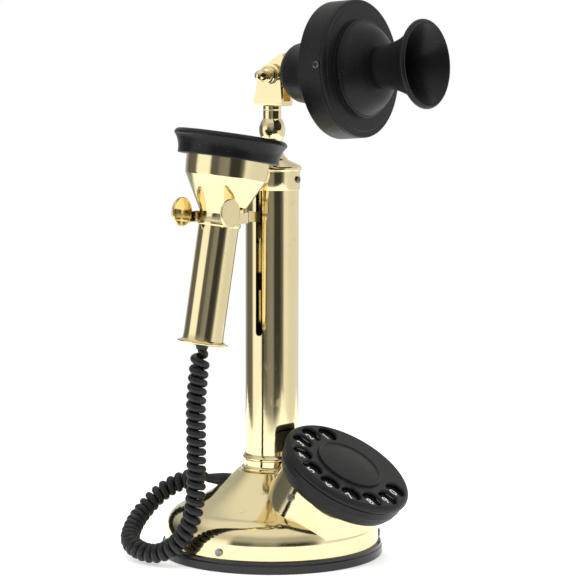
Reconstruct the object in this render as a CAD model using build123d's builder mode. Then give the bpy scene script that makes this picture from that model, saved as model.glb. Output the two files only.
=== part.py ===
from build123d import *
import math
import os

# Candlestick telephone with a sloping rotary dial on its round foot.
# Millimetres. Origin on the floor under the column's centre, +Z up, mouthpiece and dial towards -Y.

# ---------------------------------------------------------------- driving dimensions
ring_radius = 76.0          # black plinth ring, the widest part of the foot
ring_height = 8.3
felt_thickness = 1.5
plate_thickness = 1.6
plate_radius = 66.0
pan_radius = 73.3           # spun brass pan
pan_sheet = 1.6
pan_top = 57.5              # where the column stands on the pan
cove_foot = (60.0, 32.7)    # radius and height where the pan's cove becomes its shoulder
rim_screw_height = 12.8
rim_screw_azimuth = 187.0

column_radius = 18.05
column_wall = 1.8
column_top = 262.5
cap_collar_height = 13.0
slot_bottom = 151.0
slot_width = 5.0
cap_screw_azimuth = -80.0
stem_foot = 271.0
clevis_floor = 306.0
cap_screw_height = 256.5

hook_azimuth = 186.0        # direction of the hook lever, seen from above
neck_reach = 70.0           # column axis to the receiver's neck
fork_inner = 17.2
fork_thickness = 2.2
fork_bottom = 231.5
fork_top = 238.5
paddle_radius = 9.6
paddle_height = 239.0
paddle_reach = 87.0
paddle_thickness = 2.4
paddle_turn = 9.0           # from the prongs' own direction, degrees
hook_pivot_reach = -7.0
hook_pivot_height = 222.0

receiver_neck_height = 232.0
lean_in = 7.8               # the receiver's top leans towards the column, degrees
lean_side = 4.7             # and forwards, degrees
handle_radius = 13.2
handle_length = 78.0
cup_radius = 27.3
ear_radius = 37.3

dial_elevation = 58.0       # dial face normal above the horizontal, degrees
dial_centre = (0.0, -64.5, 67.7)
wheel_radius = 46.0
case_radius = 44.5
case_depth = 20.3
hole_circle = 35.2
hole_radius = 7.0
hole_first = 65.5
hole_step = 26.0
hole_count = 10

mouth_tilt = 4.0            # transmitter axis above the horizontal, degrees
mouth_height = 326.5
pivot_offset = -2.0         # tilt pivot, in front of the column's axis
pivot_radius = 2.5
ring_front = 73.0           # transmitter front face, along its own axis
cup_outer = 45.5
horn_front = 123.5
horn_radius = 29.2

cord_radius = 6.75          # outside of the curly cord's coil
running = 0.05              # radial clearance of a turning fit

os.makedirs("parts", exist_ok=True)


def direction(azimuth, elevation=0.0):
    """Unit vector from an azimuth about +Z and an elevation above the floor."""
    a = math.radians(azimuth)
    e = math.radians(elevation)
    return Vector(math.cos(e) * math.cos(a), math.cos(e) * math.sin(a), math.sin(e))


def save(piece, name):
    """Label a finished sub-part and write its own file."""
    piece.part.label = name
    export_step(piece.part, f"parts/{name}.step")


# Frames: the column's own half plane, the dial's, the transmitter's, the hook's and the receiver's.
turn_z = Plane.XZ

dial_normal = direction(-90.0, dial_elevation)
dial_face = Plane(origin=dial_centre, x_dir=(1, 0, 0), z_dir=dial_normal)
dial_profile = Plane(origin=dial_centre, x_dir=(1, 0, 0), z_dir=Vector(1, 0, 0).cross(dial_normal))
dial_axis = Axis(dial_centre, dial_normal)

mouth_origin = Vector(0, 0, mouth_height)
mouth_dir = direction(-90.0, mouth_tilt)
mouth_profile = Plane(origin=mouth_origin, x_dir=(1, 0, 0), z_dir=Vector(1, 0, 0).cross(mouth_dir))
mouth_face = Plane(origin=mouth_origin, x_dir=(1, 0, 0), z_dir=mouth_dir)
mouth_axis = Axis(mouth_origin, mouth_dir)
pivot_height = mouth_height - pivot_offset * math.tan(math.radians(mouth_tilt))

hook_out = direction(hook_azimuth)
hook_side = direction(hook_azimuth - 90.0)
hook_flat = Plane(origin=(0, 0, 0), x_dir=hook_out, z_dir=(0, 0, 1))
hook_upright = Plane(origin=(0, 0, 0), x_dir=hook_out, z_dir=hook_side)

neck = hook_out * neck_reach + Vector(0, 0, receiver_neck_height)
hook_cross = hook_side * -1.0
receiver_up = (
    Vector(0, 0, 1)
    - hook_out * math.tan(math.radians(lean_in))
    + hook_cross * math.tan(math.radians(lean_side))
).normalized()
receiver_x = hook_out.cross(receiver_up).cross(receiver_up * -1.0).normalized()
receiver_face = Plane(origin=neck, x_dir=receiver_x, z_dir=receiver_up)
receiver_profile = Plane(origin=neck, x_dir=receiver_x, z_dir=receiver_x.cross(receiver_up))
receiver_axis = Axis(neck, receiver_up)

# ---------------------------------------------------------------- foot

# Felt under the foot, glued to the closing plate.
with BuildPart() as base_felt:
    with BuildSketch(Plane.XY):
        Circle(plate_radius - 0.5)
    extrude(amount=felt_thickness)
save(base_felt, "base_felt")

# Steel plate that closes the foot, with three screw holes.
plate_screw_circle = 57.0
with BuildPart() as bottom_plate:
    with BuildSketch(Plane.XY.offset(felt_thickness)):
        Circle(plate_radius)
        with PolarLocations(plate_screw_circle, 3, 30):
            Circle(2.0, mode=Mode.SUBTRACT)
    extrude(amount=plate_thickness)
save(bottom_plate, "bottom_plate")

line_azimuth = 90.0
line_out = direction(line_azimuth)
line_height = 15.0
line_bore = 2.6
line_outer = 4.6
line_plane = Plane(origin=line_out * pan_radius + Vector(0, 0, line_height), x_dir=(0, 0, 1), z_dir=line_out)

# Turned black plinth ring with a ledge for the plate and a small step outside.
ledge = felt_thickness + plate_thickness
upstand_radius = pan_radius - pan_sheet
with BuildPart() as base_ring:
    with BuildSketch(turn_z):
        with BuildLine():
            Polyline(
                (plate_radius, 0),
                (ring_radius - 1.2, 0),
                (ring_radius, 1.2),
                (ring_radius, 5.6),
                (ring_radius - 0.8, 6.4),
                (ring_radius - 0.8, ring_height),
                (upstand_radius, ring_height),
                (upstand_radius, 16.5),
                (upstand_radius - 3.2, 16.5),
                (upstand_radius - 3.2, ring_height),
                (62.5, ring_height),
                (62.5, ledge),
                (plate_radius, ledge),
                close=True,
            )
        make_face()
    revolve(axis=Axis.Z)
    with Locations((0, 0, rim_screw_height)):
        with PolarLocations(upstand_radius, 3, rim_screw_azimuth):
            with Locations(Rotation(0, 90, 0)):
                Cylinder(radius=1.6, height=12.0, mode=Mode.SUBTRACT)
    with BuildSketch(line_plane.offset(-14.0)):
        Circle(line_outer)
    extrude(amount=20.0, mode=Mode.SUBTRACT)
save(base_ring, "base_ring")

# Cast ballast ring that keeps the tall phone from tipping, held down by the plate's screws.
ballast_top = 17.0
with BuildPart() as ballast_ring:
    with BuildSketch(Plane.XY.offset(ledge)):
        Circle(62.3)
        Circle(40.0, mode=Mode.SUBTRACT)
    extrude(amount=ballast_top - ledge)
    with Locations((0, 0, ledge)):
        with PolarLocations(plate_screw_circle, 3, 30):
            Hole(radius=1.6, depth=20.0)
save(ballast_ring, "ballast_ring")

# Three countersunk screws through the plate into the ballast ring.
with BuildPart() as plate_screws:
    with BuildSketch(Plane.XY.offset(felt_thickness)):
        with PolarLocations(plate_screw_circle, 3, 30):
            Circle(2.0)
    extrude(amount=plate_thickness)
    with BuildSketch(Plane.XY.offset(ledge)):
        with PolarLocations(plate_screw_circle, 3, 30):
            Circle(1.6)
    extrude(amount=9.0)
save(plate_screws, "plate_screws")


def pan_outline(offset):
    """Points of the pan's section, moved in from its outer skin by the sheet's thickness."""
    return {
        "rim": (pan_radius - offset, ring_height),
        "shoulder": (pan_radius - offset, 17.0),
        "shoulder_mid": (70.0 - 0.75 * offset, 26.6 - 0.75 * offset),
        "foot": (cove_foot[0] - 0.45 * offset, cove_foot[1] - 0.9 * offset),
        "cove_mid": (38.5 - 0.65 * offset, 44.3 - 0.8 * offset),
        "top": (23.5 - offset, pan_top - offset),
    }


skin = pan_outline(0.0)
lining = pan_outline(pan_sheet)
column_hole = 13.0

# Everything under the pan's outer skin, used to trim the drum and the grommets.
with BuildPart() as pan_space:
    with BuildSketch(turn_z):
        with BuildLine():
            Line((0, 0), (pan_radius, 0))
            Line((pan_radius, 0), skin["shoulder"])
            ThreePointArc(skin["shoulder"], skin["shoulder_mid"], skin["foot"])
            ThreePointArc(skin["foot"], skin["cove_mid"], skin["top"])
            Line(skin["top"], (0, pan_top))
            Line((0, pan_top), (0, 0))
        make_face()
    revolve(axis=Axis.Z)

inlet_azimuth = 107.0
inlet_rise = 2.0
inlet_height = 48.0
inlet_tip_radius = 47.0
inlet_tip = direction(inlet_azimuth) * inlet_tip_radius + Vector(0, 0, inlet_height)
inlet_out = direction(112.0, inlet_rise)
inlet_plane = Plane(origin=inlet_tip, x_dir=hook_out.cross(inlet_out).cross(inlet_out), z_dir=inlet_out)
grommet_radius = 4.6

# Spun brass pan: short upright rim, round shoulder and a long cove up to the column.
with BuildPart() as base_pan:
    with BuildSketch(turn_z):
        with BuildLine():
            Line(skin["rim"], skin["shoulder"])
            ThreePointArc(skin["shoulder"], skin["shoulder_mid"], skin["foot"])
            ThreePointArc(skin["foot"], skin["cove_mid"], skin["top"])
            Line(skin["top"], (column_hole, pan_top))
            Line((column_hole, pan_top), (column_hole, pan_top - pan_sheet))
            Line((column_hole, pan_top - pan_sheet), lining["top"])
            ThreePointArc(lining["top"], lining["cove_mid"], lining["foot"])
            ThreePointArc(lining["foot"], lining["shoulder_mid"], lining["shoulder"])
            Line(lining["shoulder"], lining["rim"])
            Line(lining["rim"], skin["rim"])
        make_face()
    revolve(axis=Axis.Z)
    # way through for the dial's wires, inside the drum
    with BuildSketch(dial_face.offset(-80.0)):
        with Locations((0, 4.0)):
            Circle(24.0)
    extrude(amount=60.0, mode=Mode.SUBTRACT)
    # hole for the receiver cord's grommet
    with BuildSketch(inlet_plane.offset(-40.0)):
        Circle(grommet_radius)
    extrude(amount=42.0, mode=Mode.SUBTRACT)
    # hole for the line cord's grommet
    with BuildSketch(line_plane.offset(-6.0)):
        Circle(line_outer)
    extrude(amount=10.0, mode=Mode.SUBTRACT)
    # three screw holes round the rim
    with Locations((0, 0, rim_screw_height)):
        with PolarLocations(pan_radius, 3, rim_screw_azimuth):
            with Locations(Rotation(0, 90, 0)):
                Cylinder(radius=1.6, height=8.0, mode=Mode.SUBTRACT)
save(base_pan, "base_pan")

# Three cross-slot screws that hold the pan down on the plinth ring's inner wall.
with BuildPart() as rim_screws:
    with Locations((0, 0, rim_screw_height)):
        with PolarLocations(pan_radius + 0.6, 3, rim_screw_azimuth):
            with Locations(Rotation(0, 90, 0)):
                Cylinder(radius=2.6, height=1.2)
        with PolarLocations(pan_radius - 2.6, 3, rim_screw_azimuth):
            with Locations(Rotation(0, 90, 0)):
                Cylinder(radius=1.6, height=5.2)
        with PolarLocations(pan_radius + 1.2, 3, rim_screw_azimuth):
            Box(0.9, 0.7, 3.2, mode=Mode.SUBTRACT)
            Box(0.9, 3.2, 0.7, mode=Mode.SUBTRACT)
save(rim_screws, "rim_screws")

# ---------------------------------------------------------------- dial

# Space inside the drum that carries the dial.
drum_radius = 40.6
drum_wall = 2.0
collar_radius = 21.2
drum_front = pan_radius - 0.4
with BuildPart() as drum_bore:
    with BuildSketch(dial_face.offset(-76.0)):
        Circle(drum_radius - drum_wall)
    extrude(amount=80.0)
    with BuildSketch(Plane.XY):
        Circle(drum_front - drum_wall)
    extrude(amount=100.0, mode=Mode.INTERSECT)

dial_screw_angles = (170.0, 50.0)
dial_screw_depth = 27.0
dial_screw_plane = dial_face.offset(-dial_screw_depth)


def dial_radial(angle, radius):
    """Plane across a radial line of the dial, at the drum screws' depth."""
    a = math.radians(angle)
    out = dial_face.x_dir * math.cos(a) + dial_face.y_dir * math.sin(a)
    return Plane(origin=dial_screw_plane.origin + out * radius, x_dir=dial_normal, z_dir=out)


# Oblique brass drum that carries the dial, flush with the pan's rim in front.
with BuildPart() as dial_drum:
    with BuildSketch(dial_face.offset(-75.0)):
        Circle(drum_radius)
    extrude(amount=75.0 - case_depth)
    with BuildSketch(Plane.XY):
        Circle(drum_front)
    extrude(amount=100.0, mode=Mode.INTERSECT)
    add(drum_bore.part, mode=Mode.SUBTRACT)
    add(pan_space.part, mode=Mode.SUBTRACT)
    with BuildSketch(Plane.XY.offset(pan_top - 10.0)):
        Circle(collar_radius)
    extrude(amount=60.0, mode=Mode.SUBTRACT)
    for angle in dial_screw_angles:
        with BuildSketch(dial_radial(angle, drum_radius - 5.0)):
            Circle(1.6)
        extrude(amount=8.0, mode=Mode.SUBTRACT)
save(dial_drum, "dial_drum")

# Black dial case: a shallow cup with a spigot that drops into the drum.
spigot_radius = drum_radius - drum_wall - 0.2
case_top = -7.6
case_floor = 2.0
shaft_radius = 3.0
# The spigot stays inside the drum's front wall.
with BuildPart() as spigot_trim:
    with BuildSketch(dial_face.offset(-case_depth - 12.0)):
        Circle(drum_radius + 10.0)
    extrude(amount=12.0)
    with BuildSketch(Plane.XY):
        Circle(drum_front - drum_wall - 0.2)
        Circle(collar_radius, mode=Mode.SUBTRACT)
    extrude(amount=100.0, mode=Mode.SUBTRACT)

with BuildPart() as dial_case:
    with BuildSketch(dial_profile):
        with BuildLine():
            Polyline(
                (shaft_radius + running, -case_depth),
                (spigot_radius - 2.5, -case_depth),
                (spigot_radius - 2.5, -case_depth - 9.5),
                (spigot_radius, -case_depth - 9.5),
                (spigot_radius, -case_depth),
                (case_radius - 3.5, -case_depth),
                (case_radius - 1.2, -case_depth + 4.0),
                (case_radius, -case_depth + 8.0),
                (case_radius, case_top),
                (case_radius - 2.2, case_top),
                (case_radius - 2.2, -case_depth + 8.0),
                (case_radius - 4.6, -case_depth + case_floor),
                (shaft_radius + running, -case_depth + case_floor),
                close=True,
            )
        make_face()
    revolve(axis=dial_axis)
    add(spigot_trim.part, mode=Mode.SUBTRACT)
    for angle in dial_screw_angles:
        with BuildSketch(dial_radial(angle, drum_radius - 5.2)):
            Circle(1.6)
        extrude(amount=6.0, mode=Mode.SUBTRACT)
save(dial_case, "dial_case")

# Glossy number plate close under the finger wheel: a shallow pressed pan with a narrow brim
# that lies on the case, and a hole for the shaft.
number_plate_top = -4.4
number_plate_sheet = 1.2
number_plate_radius = case_radius - 1.9
with BuildPart() as number_plate:
    with BuildSketch(dial_profile):
        with BuildLine():
            Polyline(
                (6.0, number_plate_top - number_plate_sheet),
                (6.0, number_plate_top),
                (number_plate_radius - 0.4, number_plate_top),
                (number_plate_radius, number_plate_top - 0.4),
                (number_plate_radius, case_top + 1.0),
                (case_radius - 1.0, case_top + 1.0),
                (case_radius - 1.0, case_top),
                (number_plate_radius - number_plate_sheet, case_top),
                (number_plate_radius - number_plate_sheet, number_plate_top - number_plate_sheet),
                close=True,
            )
        make_face()
    revolve(axis=dial_axis)
save(number_plate, "number_plate")

# Finger wheel: ten finger holes and a rounded rim that hangs over the case.
wheel_top = -1.4
hole_bevel = 0.9
wheel_bottom = -3.4
rim_bottom = -6.2
with BuildPart() as finger_wheel:
    with BuildSketch(dial_profile):
        with BuildLine():
            Line((0, wheel_bottom), (case_radius - 1.5, wheel_bottom))
            Line((case_radius - 1.5, wheel_bottom), (case_radius - 0.6, rim_bottom))
            Line((case_radius - 0.6, rim_bottom), (wheel_radius - 0.4, rim_bottom))
            Line((wheel_radius - 0.4, rim_bottom), (wheel_radius, rim_bottom + 0.6))
            ThreePointArc(
                (wheel_radius, rim_bottom + 0.6),
                (wheel_radius - 0.9, wheel_top - 1.4),
                (wheel_radius - 3.4, wheel_top),
            )
            Line((wheel_radius - 3.4, wheel_top), (0, wheel_top))
            Line((0, wheel_top), (0, wheel_bottom))
        make_face()
    revolve(axis=dial_axis)
    with BuildSketch(dial_face.offset(-12.0)):
        with PolarLocations(hole_circle, hole_count, hole_first, hole_step * (hole_count - 1), endpoint=True):
            Circle(hole_radius)
    extrude(amount=14.0, mode=Mode.SUBTRACT)
    with BuildSketch(dial_face.offset(wheel_top)):
        with PolarLocations(hole_circle, hole_count, hole_first, hole_step * (hole_count - 1), endpoint=True):
            Circle(hole_radius + hole_bevel)
    extrude(amount=-hole_bevel, taper=45, mode=Mode.SUBTRACT)
    with BuildSketch(dial_face.offset(wheel_bottom)):
        Circle(shaft_radius)
    extrude(amount=1.0, mode=Mode.SUBTRACT)
save(finger_wheel, "finger_wheel")

# Domed cover in the wheel's middle, with a thin raised rim.
disc_radius = 23.4
dome_top = 1.3
dome_sphere = ((disc_radius - 1.9) ** 2 + (dome_top + 0.4) ** 2) / (2 * (dome_top + 0.4))
dome_mid = dome_top - dome_sphere + math.sqrt(dome_sphere**2 - 10.75**2)
with BuildPart() as centre_disc:
    with BuildSketch(dial_profile):
        with BuildLine():
            Line((0, wheel_top), (disc_radius, wheel_top))
            Line((disc_radius, wheel_top), (disc_radius, 0))
            Line((disc_radius, 0), (disc_radius - 0.5, 0.4))
            Line((disc_radius - 0.5, 0.4), (disc_radius - 1.3, 0.4))
            Line((disc_radius - 1.3, 0.4), (disc_radius - 1.9, -0.4))
            ThreePointArc((disc_radius - 1.9, -0.4), (10.75, dome_mid), (0, dome_top))
            Line((0, dome_top), (0, wheel_top))
        make_face()
    revolve(axis=dial_axis)
save(centre_disc, "centre_disc")

# Steel shaft that turns with the wheel in the case's floor.
shaft_end = -case_depth - 6.0
with BuildPart() as dial_shaft:
    with BuildSketch(dial_face.offset(shaft_end)):
        Circle(shaft_radius)
    extrude(amount=wheel_bottom + 1.0 - shaft_end)
save(dial_shaft, "dial_shaft")

# Toothed wheel on the shaft, and the governor's pinion that it drives four times as fast.
tooth_pitch_module = 0.75
gear_teeth = 48
pinion_teeth = 12
gear_low = -14.5
gear_thickness = 2.0
gear_pitch_radius = gear_teeth * tooth_pitch_module / 2
pinion_pitch_radius = pinion_teeth * tooth_pitch_module / 2
gear_centre_distance = gear_pitch_radius + pinion_pitch_radius + 0.15
pinion_angle = 160.0
tooth_height = 0.95
tooth_root_height = 0.9
tooth_share = 0.36


def gear_points(teeth, pitch_radius, turn):
    """Corner points of a plain toothed outline, one tooth centred on the angle turn."""
    points = []
    step = 2 * math.pi / teeth
    for k in range(teeth):
        middle = math.radians(turn) + k * step
        for share, rise in ((-0.5, -1), (-0.5 * tooth_share - 0.07, -1), (-0.13, 1), (0.13, 1),
                            (0.5 * tooth_share + 0.07, -1)):
            height = tooth_height if rise > 0 else -tooth_root_height
            r = pitch_radius + height
            a = middle + share * step
            points.append((r * math.cos(a), r * math.sin(a)))
    return points


with BuildPart() as dial_gear:
    with BuildSketch(dial_face.offset(gear_low)):
        with BuildLine():
            Polyline(*gear_points(gear_teeth, gear_pitch_radius, pinion_angle), close=True)
        make_face()
        Circle(shaft_radius, mode=Mode.SUBTRACT)
    extrude(amount=gear_thickness)
save(dial_gear, "dial_gear")

governor_out = (
    dial_face.x_dir * math.cos(math.radians(pinion_angle))
    + dial_face.y_dir * math.sin(math.radians(pinion_angle))
)


def governor_plane(height):
    """Plane across the governor's axis, at a height in the dial's frame."""
    at = dial_face.origin + governor_out * gear_centre_distance + dial_normal * height
    return Plane(origin=at, x_dir=dial_face.x_dir, z_dir=dial_normal)


pinion_turn = pinion_angle + 180.0 + 180.0 / pinion_teeth
governor_pin_radius = 1.2
with BuildPart() as governor:
    with BuildSketch(governor_plane(gear_low)):
        with BuildLine():
            Polyline(*gear_points(pinion_teeth, pinion_pitch_radius, pinion_turn), close=True)
        make_face()
        Circle(governor_pin_radius + running, mode=Mode.SUBTRACT)
    extrude(amount=gear_thickness)
    with BuildSketch(governor_plane(gear_low + gear_thickness)):
        Circle(2.6)
        Circle(governor_pin_radius + running, mode=Mode.SUBTRACT)
    extrude(amount=0.6)
    with BuildSketch(governor_plane(gear_low + gear_thickness + 0.6)):
        Circle(7.5)
        Circle(governor_pin_radius + running, mode=Mode.SUBTRACT)
    extrude(amount=2.4)
save(governor, "governor")

with BuildPart() as governor_pin:
    with BuildSketch(governor_plane(-case_depth + case_floor)):
        Circle(governor_pin_radius)
    extrude(amount=9.6)
save(governor_pin, "governor_pin")

# Return spring's barrel round the shaft, under the gear.
with BuildPart() as spring_barrel:
    with BuildSketch(dial_face.offset(-case_depth + case_floor)):
        Circle(13.0)
        Circle(11.8, mode=Mode.SUBTRACT)
    extrude(amount=3.0)
save(spring_barrel, "spring_barrel")

# Screws through the drum into the case's spigot.
with BuildPart() as dial_screws:
    for angle in dial_screw_angles:
        with BuildSketch(dial_radial(angle, drum_radius)):
            Circle(2.5)
        extrude(amount=1.3)
        with BuildSketch(dial_radial(angle, drum_radius - 4.6)):
            Circle(1.6)
        extrude(amount=4.6)
        with BuildSketch(dial_radial(angle, drum_radius + 0.6)):
            Rectangle(0.7, 3.0)
            Rectangle(3.0, 0.7)
        extrude(amount=0.8, mode=Mode.SUBTRACT)
save(dial_screws, "dial_screws")

# ---------------------------------------------------------------- column

collar_top = 69.0
bracket_screw_heights = (206.0, 236.0)
bracket_screw_radius = 1.5


def hook_screw_plane(reach, height):
    """Plane square to the hook's direction at a reach from the column's axis."""
    at = hook_out * reach + Vector(0, 0, height)
    return Plane(origin=at, x_dir=hook_side, z_dir=hook_out * -1.0)


# Drawn brass tube with a long slot for the hook lever.
with BuildPart() as column_tube:
    with BuildSketch(Plane.XY.offset(pan_top)):
        Circle(column_radius)
        Circle(column_radius - column_wall, mode=Mode.SUBTRACT)
    extrude(amount=column_top - pan_top)
    with BuildSketch(hook_upright.offset(-0.5 * slot_width)):
        with BuildLine():
            Polyline(
                (5.0, slot_bottom + 2.0),
                (30.0, slot_bottom + 2.0),
                (30.0, column_top - cap_collar_height),
                (5.0, column_top - cap_collar_height),
                close=True,
            )
        make_face()
    extrude(amount=slot_width, mode=Mode.SUBTRACT)
    slot_end = hook_out * 12.0 + Vector(0, 0, slot_bottom + 0.5 * slot_width)
    with BuildSketch(Plane(origin=slot_end, x_dir=hook_side, z_dir=hook_out)):
        Circle(0.5 * slot_width)
    extrude(amount=15.0, mode=Mode.SUBTRACT)
    with Locations((0, 0, cap_screw_height)):
        with PolarLocations(column_radius, 3, cap_screw_azimuth):
            with Locations(Rotation(0, 90, 0)):
                Cylinder(radius=1.3, height=8.0, mode=Mode.SUBTRACT)
    for height in bracket_screw_heights:
        with BuildSketch(hook_screw_plane(-10.0, height)):
            Circle(bracket_screw_radius)
        extrude(amount=12.0, mode=Mode.SUBTRACT)
save(column_tube, "column_tube")

# Turned plug that locates the tube on the pan, with its locking ring under the sheet.
tube_bore = column_radius - column_wall
with BuildPart() as column_plug:
    with BuildSketch(turn_z):
        with BuildLine():
            Polyline(
                (5.0, 47.0),
                (column_hole, 47.0),
                (column_hole, pan_top),
                (tube_bore, pan_top),
                (tube_bore, pan_top + 10.0),
                (5.0, pan_top + 10.0),
                close=True,
            )
        make_face()
    revolve(axis=Axis.Z)
save(column_plug, "column_plug")

with BuildPart() as plug_ring:
    with BuildSketch(Plane.XY.offset(pan_top - pan_sheet - 4.0)):
        Circle(19.0)
        Circle(column_hole, mode=Mode.SUBTRACT)
    extrude(amount=4.0)
save(plug_ring, "plug_ring")

# Beaded collar where the column meets the pan.
with BuildPart() as foot_collar:
    with BuildSketch(turn_z):
        with BuildLine():
            Line((column_radius, pan_top), (20.2, pan_top))
            ThreePointArc((20.2, pan_top), (21.0, pan_top + 1.5), (20.2, pan_top + 3.0))
            Line((20.2, pan_top + 3.0), (19.4, pan_top + 3.6))
            Line((19.4, pan_top + 3.6), (19.4, pan_top + 7.4))
            ThreePointArc((19.4, pan_top + 7.4), (20.1, pan_top + 8.7), (19.4, pan_top + 10.0))
            Line((19.4, pan_top + 10.0), (18.9, collar_top))
            Line((18.9, collar_top), (column_radius, collar_top))
            Line((column_radius, collar_top), (column_radius, pan_top))
        make_face()
    revolve(axis=Axis.Z)
save(foot_collar, "foot_collar")

# Cap on the column: a sleeve over the tube, a wider flange and a low cone under the stem.
sleeve_radius = 18.95
flange_radius = 20.0
with BuildPart() as top_cap:
    with BuildSketch(turn_z):
        with BuildLine():
            Line((column_radius, column_top - cap_collar_height), (sleeve_radius, column_top - cap_collar_height))
            Line((sleeve_radius, column_top - cap_collar_height), (sleeve_radius, column_top))
            Line((sleeve_radius, column_top), (flange_radius - 0.6, column_top))
            Line((flange_radius - 0.6, column_top), (flange_radius, column_top + 0.7))
            Line((flange_radius, column_top + 0.7), (flange_radius, column_top + 2.6))
            Line((flange_radius, column_top + 2.6), (flange_radius - 1.0, column_top + 3.4))
            Line((flange_radius - 1.0, column_top + 3.4), (10.5, stem_foot - 1.2))
            Line((10.5, stem_foot - 1.2), (10.5, stem_foot))
            Line((10.5, stem_foot), (3.2, stem_foot))
            Line((3.2, stem_foot), (3.2, column_top))
            Line((3.2, column_top), (column_radius, column_top))
            Line((column_radius, column_top), (column_radius, column_top - cap_collar_height))
        make_face()
    revolve(axis=Axis.Z)
    with Locations((0, 0, cap_screw_height)):
        with PolarLocations(column_radius, 3, cap_screw_azimuth):
            with Locations(Rotation(0, 90, 0)):
                Cylinder(radius=1.3, height=8.0, mode=Mode.SUBTRACT)
save(top_cap, "top_cap")

# Cross-slot screws through the cap's sleeve into the tube.
with BuildPart() as cap_screws:
    with Locations((0, 0, cap_screw_height)):
        with PolarLocations(sleeve_radius + 0.6, 3, cap_screw_azimuth):
            with Locations(Rotation(0, 90, 0)):
                Cylinder(radius=2.3, height=1.2)
        with PolarLocations(sleeve_radius - 1.4, 3, cap_screw_azimuth):
            with Locations(Rotation(0, 90, 0)):
                Cylinder(radius=1.3, height=3.0)
        with PolarLocations(sleeve_radius + 1.2, 3, cap_screw_azimuth):
            Box(0.9, 0.6, 2.9, mode=Mode.SUBTRACT)
            Box(0.9, 2.9, 0.6, mode=Mode.SUBTRACT)
save(cap_screws, "cap_screws")

# Turned stem: waisted foot, a vase-shaped bulb and a slim neck up to the bracket.
stem_top = clevis_floor
with BuildPart() as stem:
    with BuildSketch(turn_z):
        with BuildLine():
            Line((0, stem_foot), (9.6, stem_foot))
            ThreePointArc((9.6, stem_foot), (7.2, stem_foot + 4.0), (6.4, stem_foot + 10.0))
            Line((6.4, stem_foot + 10.0), (6.5, stem_foot + 11.6))
            ThreePointArc((6.5, stem_foot + 11.6), (8.9, stem_foot + 18.9), (6.2, stem_foot + 26.4))
            Line((6.2, stem_foot + 26.4), (6.2, stem_top))
            Line((6.2, stem_top), (0, stem_top))
            Line((0, stem_top), (0, stem_foot))
        make_face()
    revolve(axis=Axis.Z)
save(stem, "stem")

# Stud from the stem down through the cap, with a nut inside the column.
with BuildPart() as stem_stud:
    with BuildSketch(Plane.XY.offset(column_top - 5.0)):
        Circle(3.2)
    extrude(amount=stem_foot - column_top + 5.0)
    with BuildSketch(Plane.XY.offset(column_top - 4.0)):
        RegularPolygon(radius=7.5, side_count=6)
    extrude(amount=4.0)
save(stem_stud, "stem_stud")

# Bracket of thick strip: a floor and two ears that hold the tilt pivot.
ear_thickness = 2.5
ear_gap = 7.8
ear_front = -12.2
ear_back = 10.8
ear_half_width = 8.8
ear_round = 7.8
floor_thickness = 3.2
bracket_half = 0.5 * ear_gap + ear_thickness
pivot_at = Vector(0, pivot_offset, pivot_height)
ear_plane = Plane(origin=(-bracket_half, 0, 0), x_dir=(0, -1, 0), z_dir=(-1, 0, 0))
with BuildPart() as pivot_bracket:
    with BuildSketch(ear_plane):
        with BuildLine():
            Polyline(
                (-ear_front, clevis_floor),
                (-ear_front, clevis_floor + floor_thickness + 1.0),
                (-pivot_offset + ear_half_width, pivot_height - 1.0),
                (-pivot_offset - ear_half_width, pivot_height - 1.0),
                (-ear_back, clevis_floor + floor_thickness + 1.0),
                (-ear_back, clevis_floor),
                close=True,
            )
        make_face()
        with BuildLine():
            ThreePointArc(
                (-pivot_offset - ear_half_width, pivot_height - 1.0),
                (-pivot_offset, pivot_height + ear_round),
                (-pivot_offset + ear_half_width, pivot_height - 1.0),
            )
            Line(
                (-pivot_offset + ear_half_width, pivot_height - 1.0),
                (-pivot_offset - ear_half_width, pivot_height - 1.0),
            )
        make_face()
    extrude(amount=-2.0 * bracket_half)
    with BuildSketch(Plane.XY.offset(clevis_floor + floor_thickness)):
        Rectangle(ear_gap, 60.0)
    extrude(amount=60.0, mode=Mode.SUBTRACT)
    with BuildSketch(ear_plane):
        with Locations((-pivot_offset, pivot_height)):
            Circle(pivot_radius + running)
    extrude(amount=-2.0 * bracket_half, mode=Mode.SUBTRACT)
    bottom_edges = pivot_bracket.edges().filter_by(Axis.Y).group_by(Axis.Z)[0]
    fillet(bottom_edges, radius=2.0)
save(pivot_bracket, "pivot_bracket")


def across_pivot(x):
    """Plane square to the pivot at a distance along X, facing -X."""
    return Plane(origin=(x, pivot_offset, pivot_height), x_dir=(0, -1, 0), z_dir=(-1, 0, 0))


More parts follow.
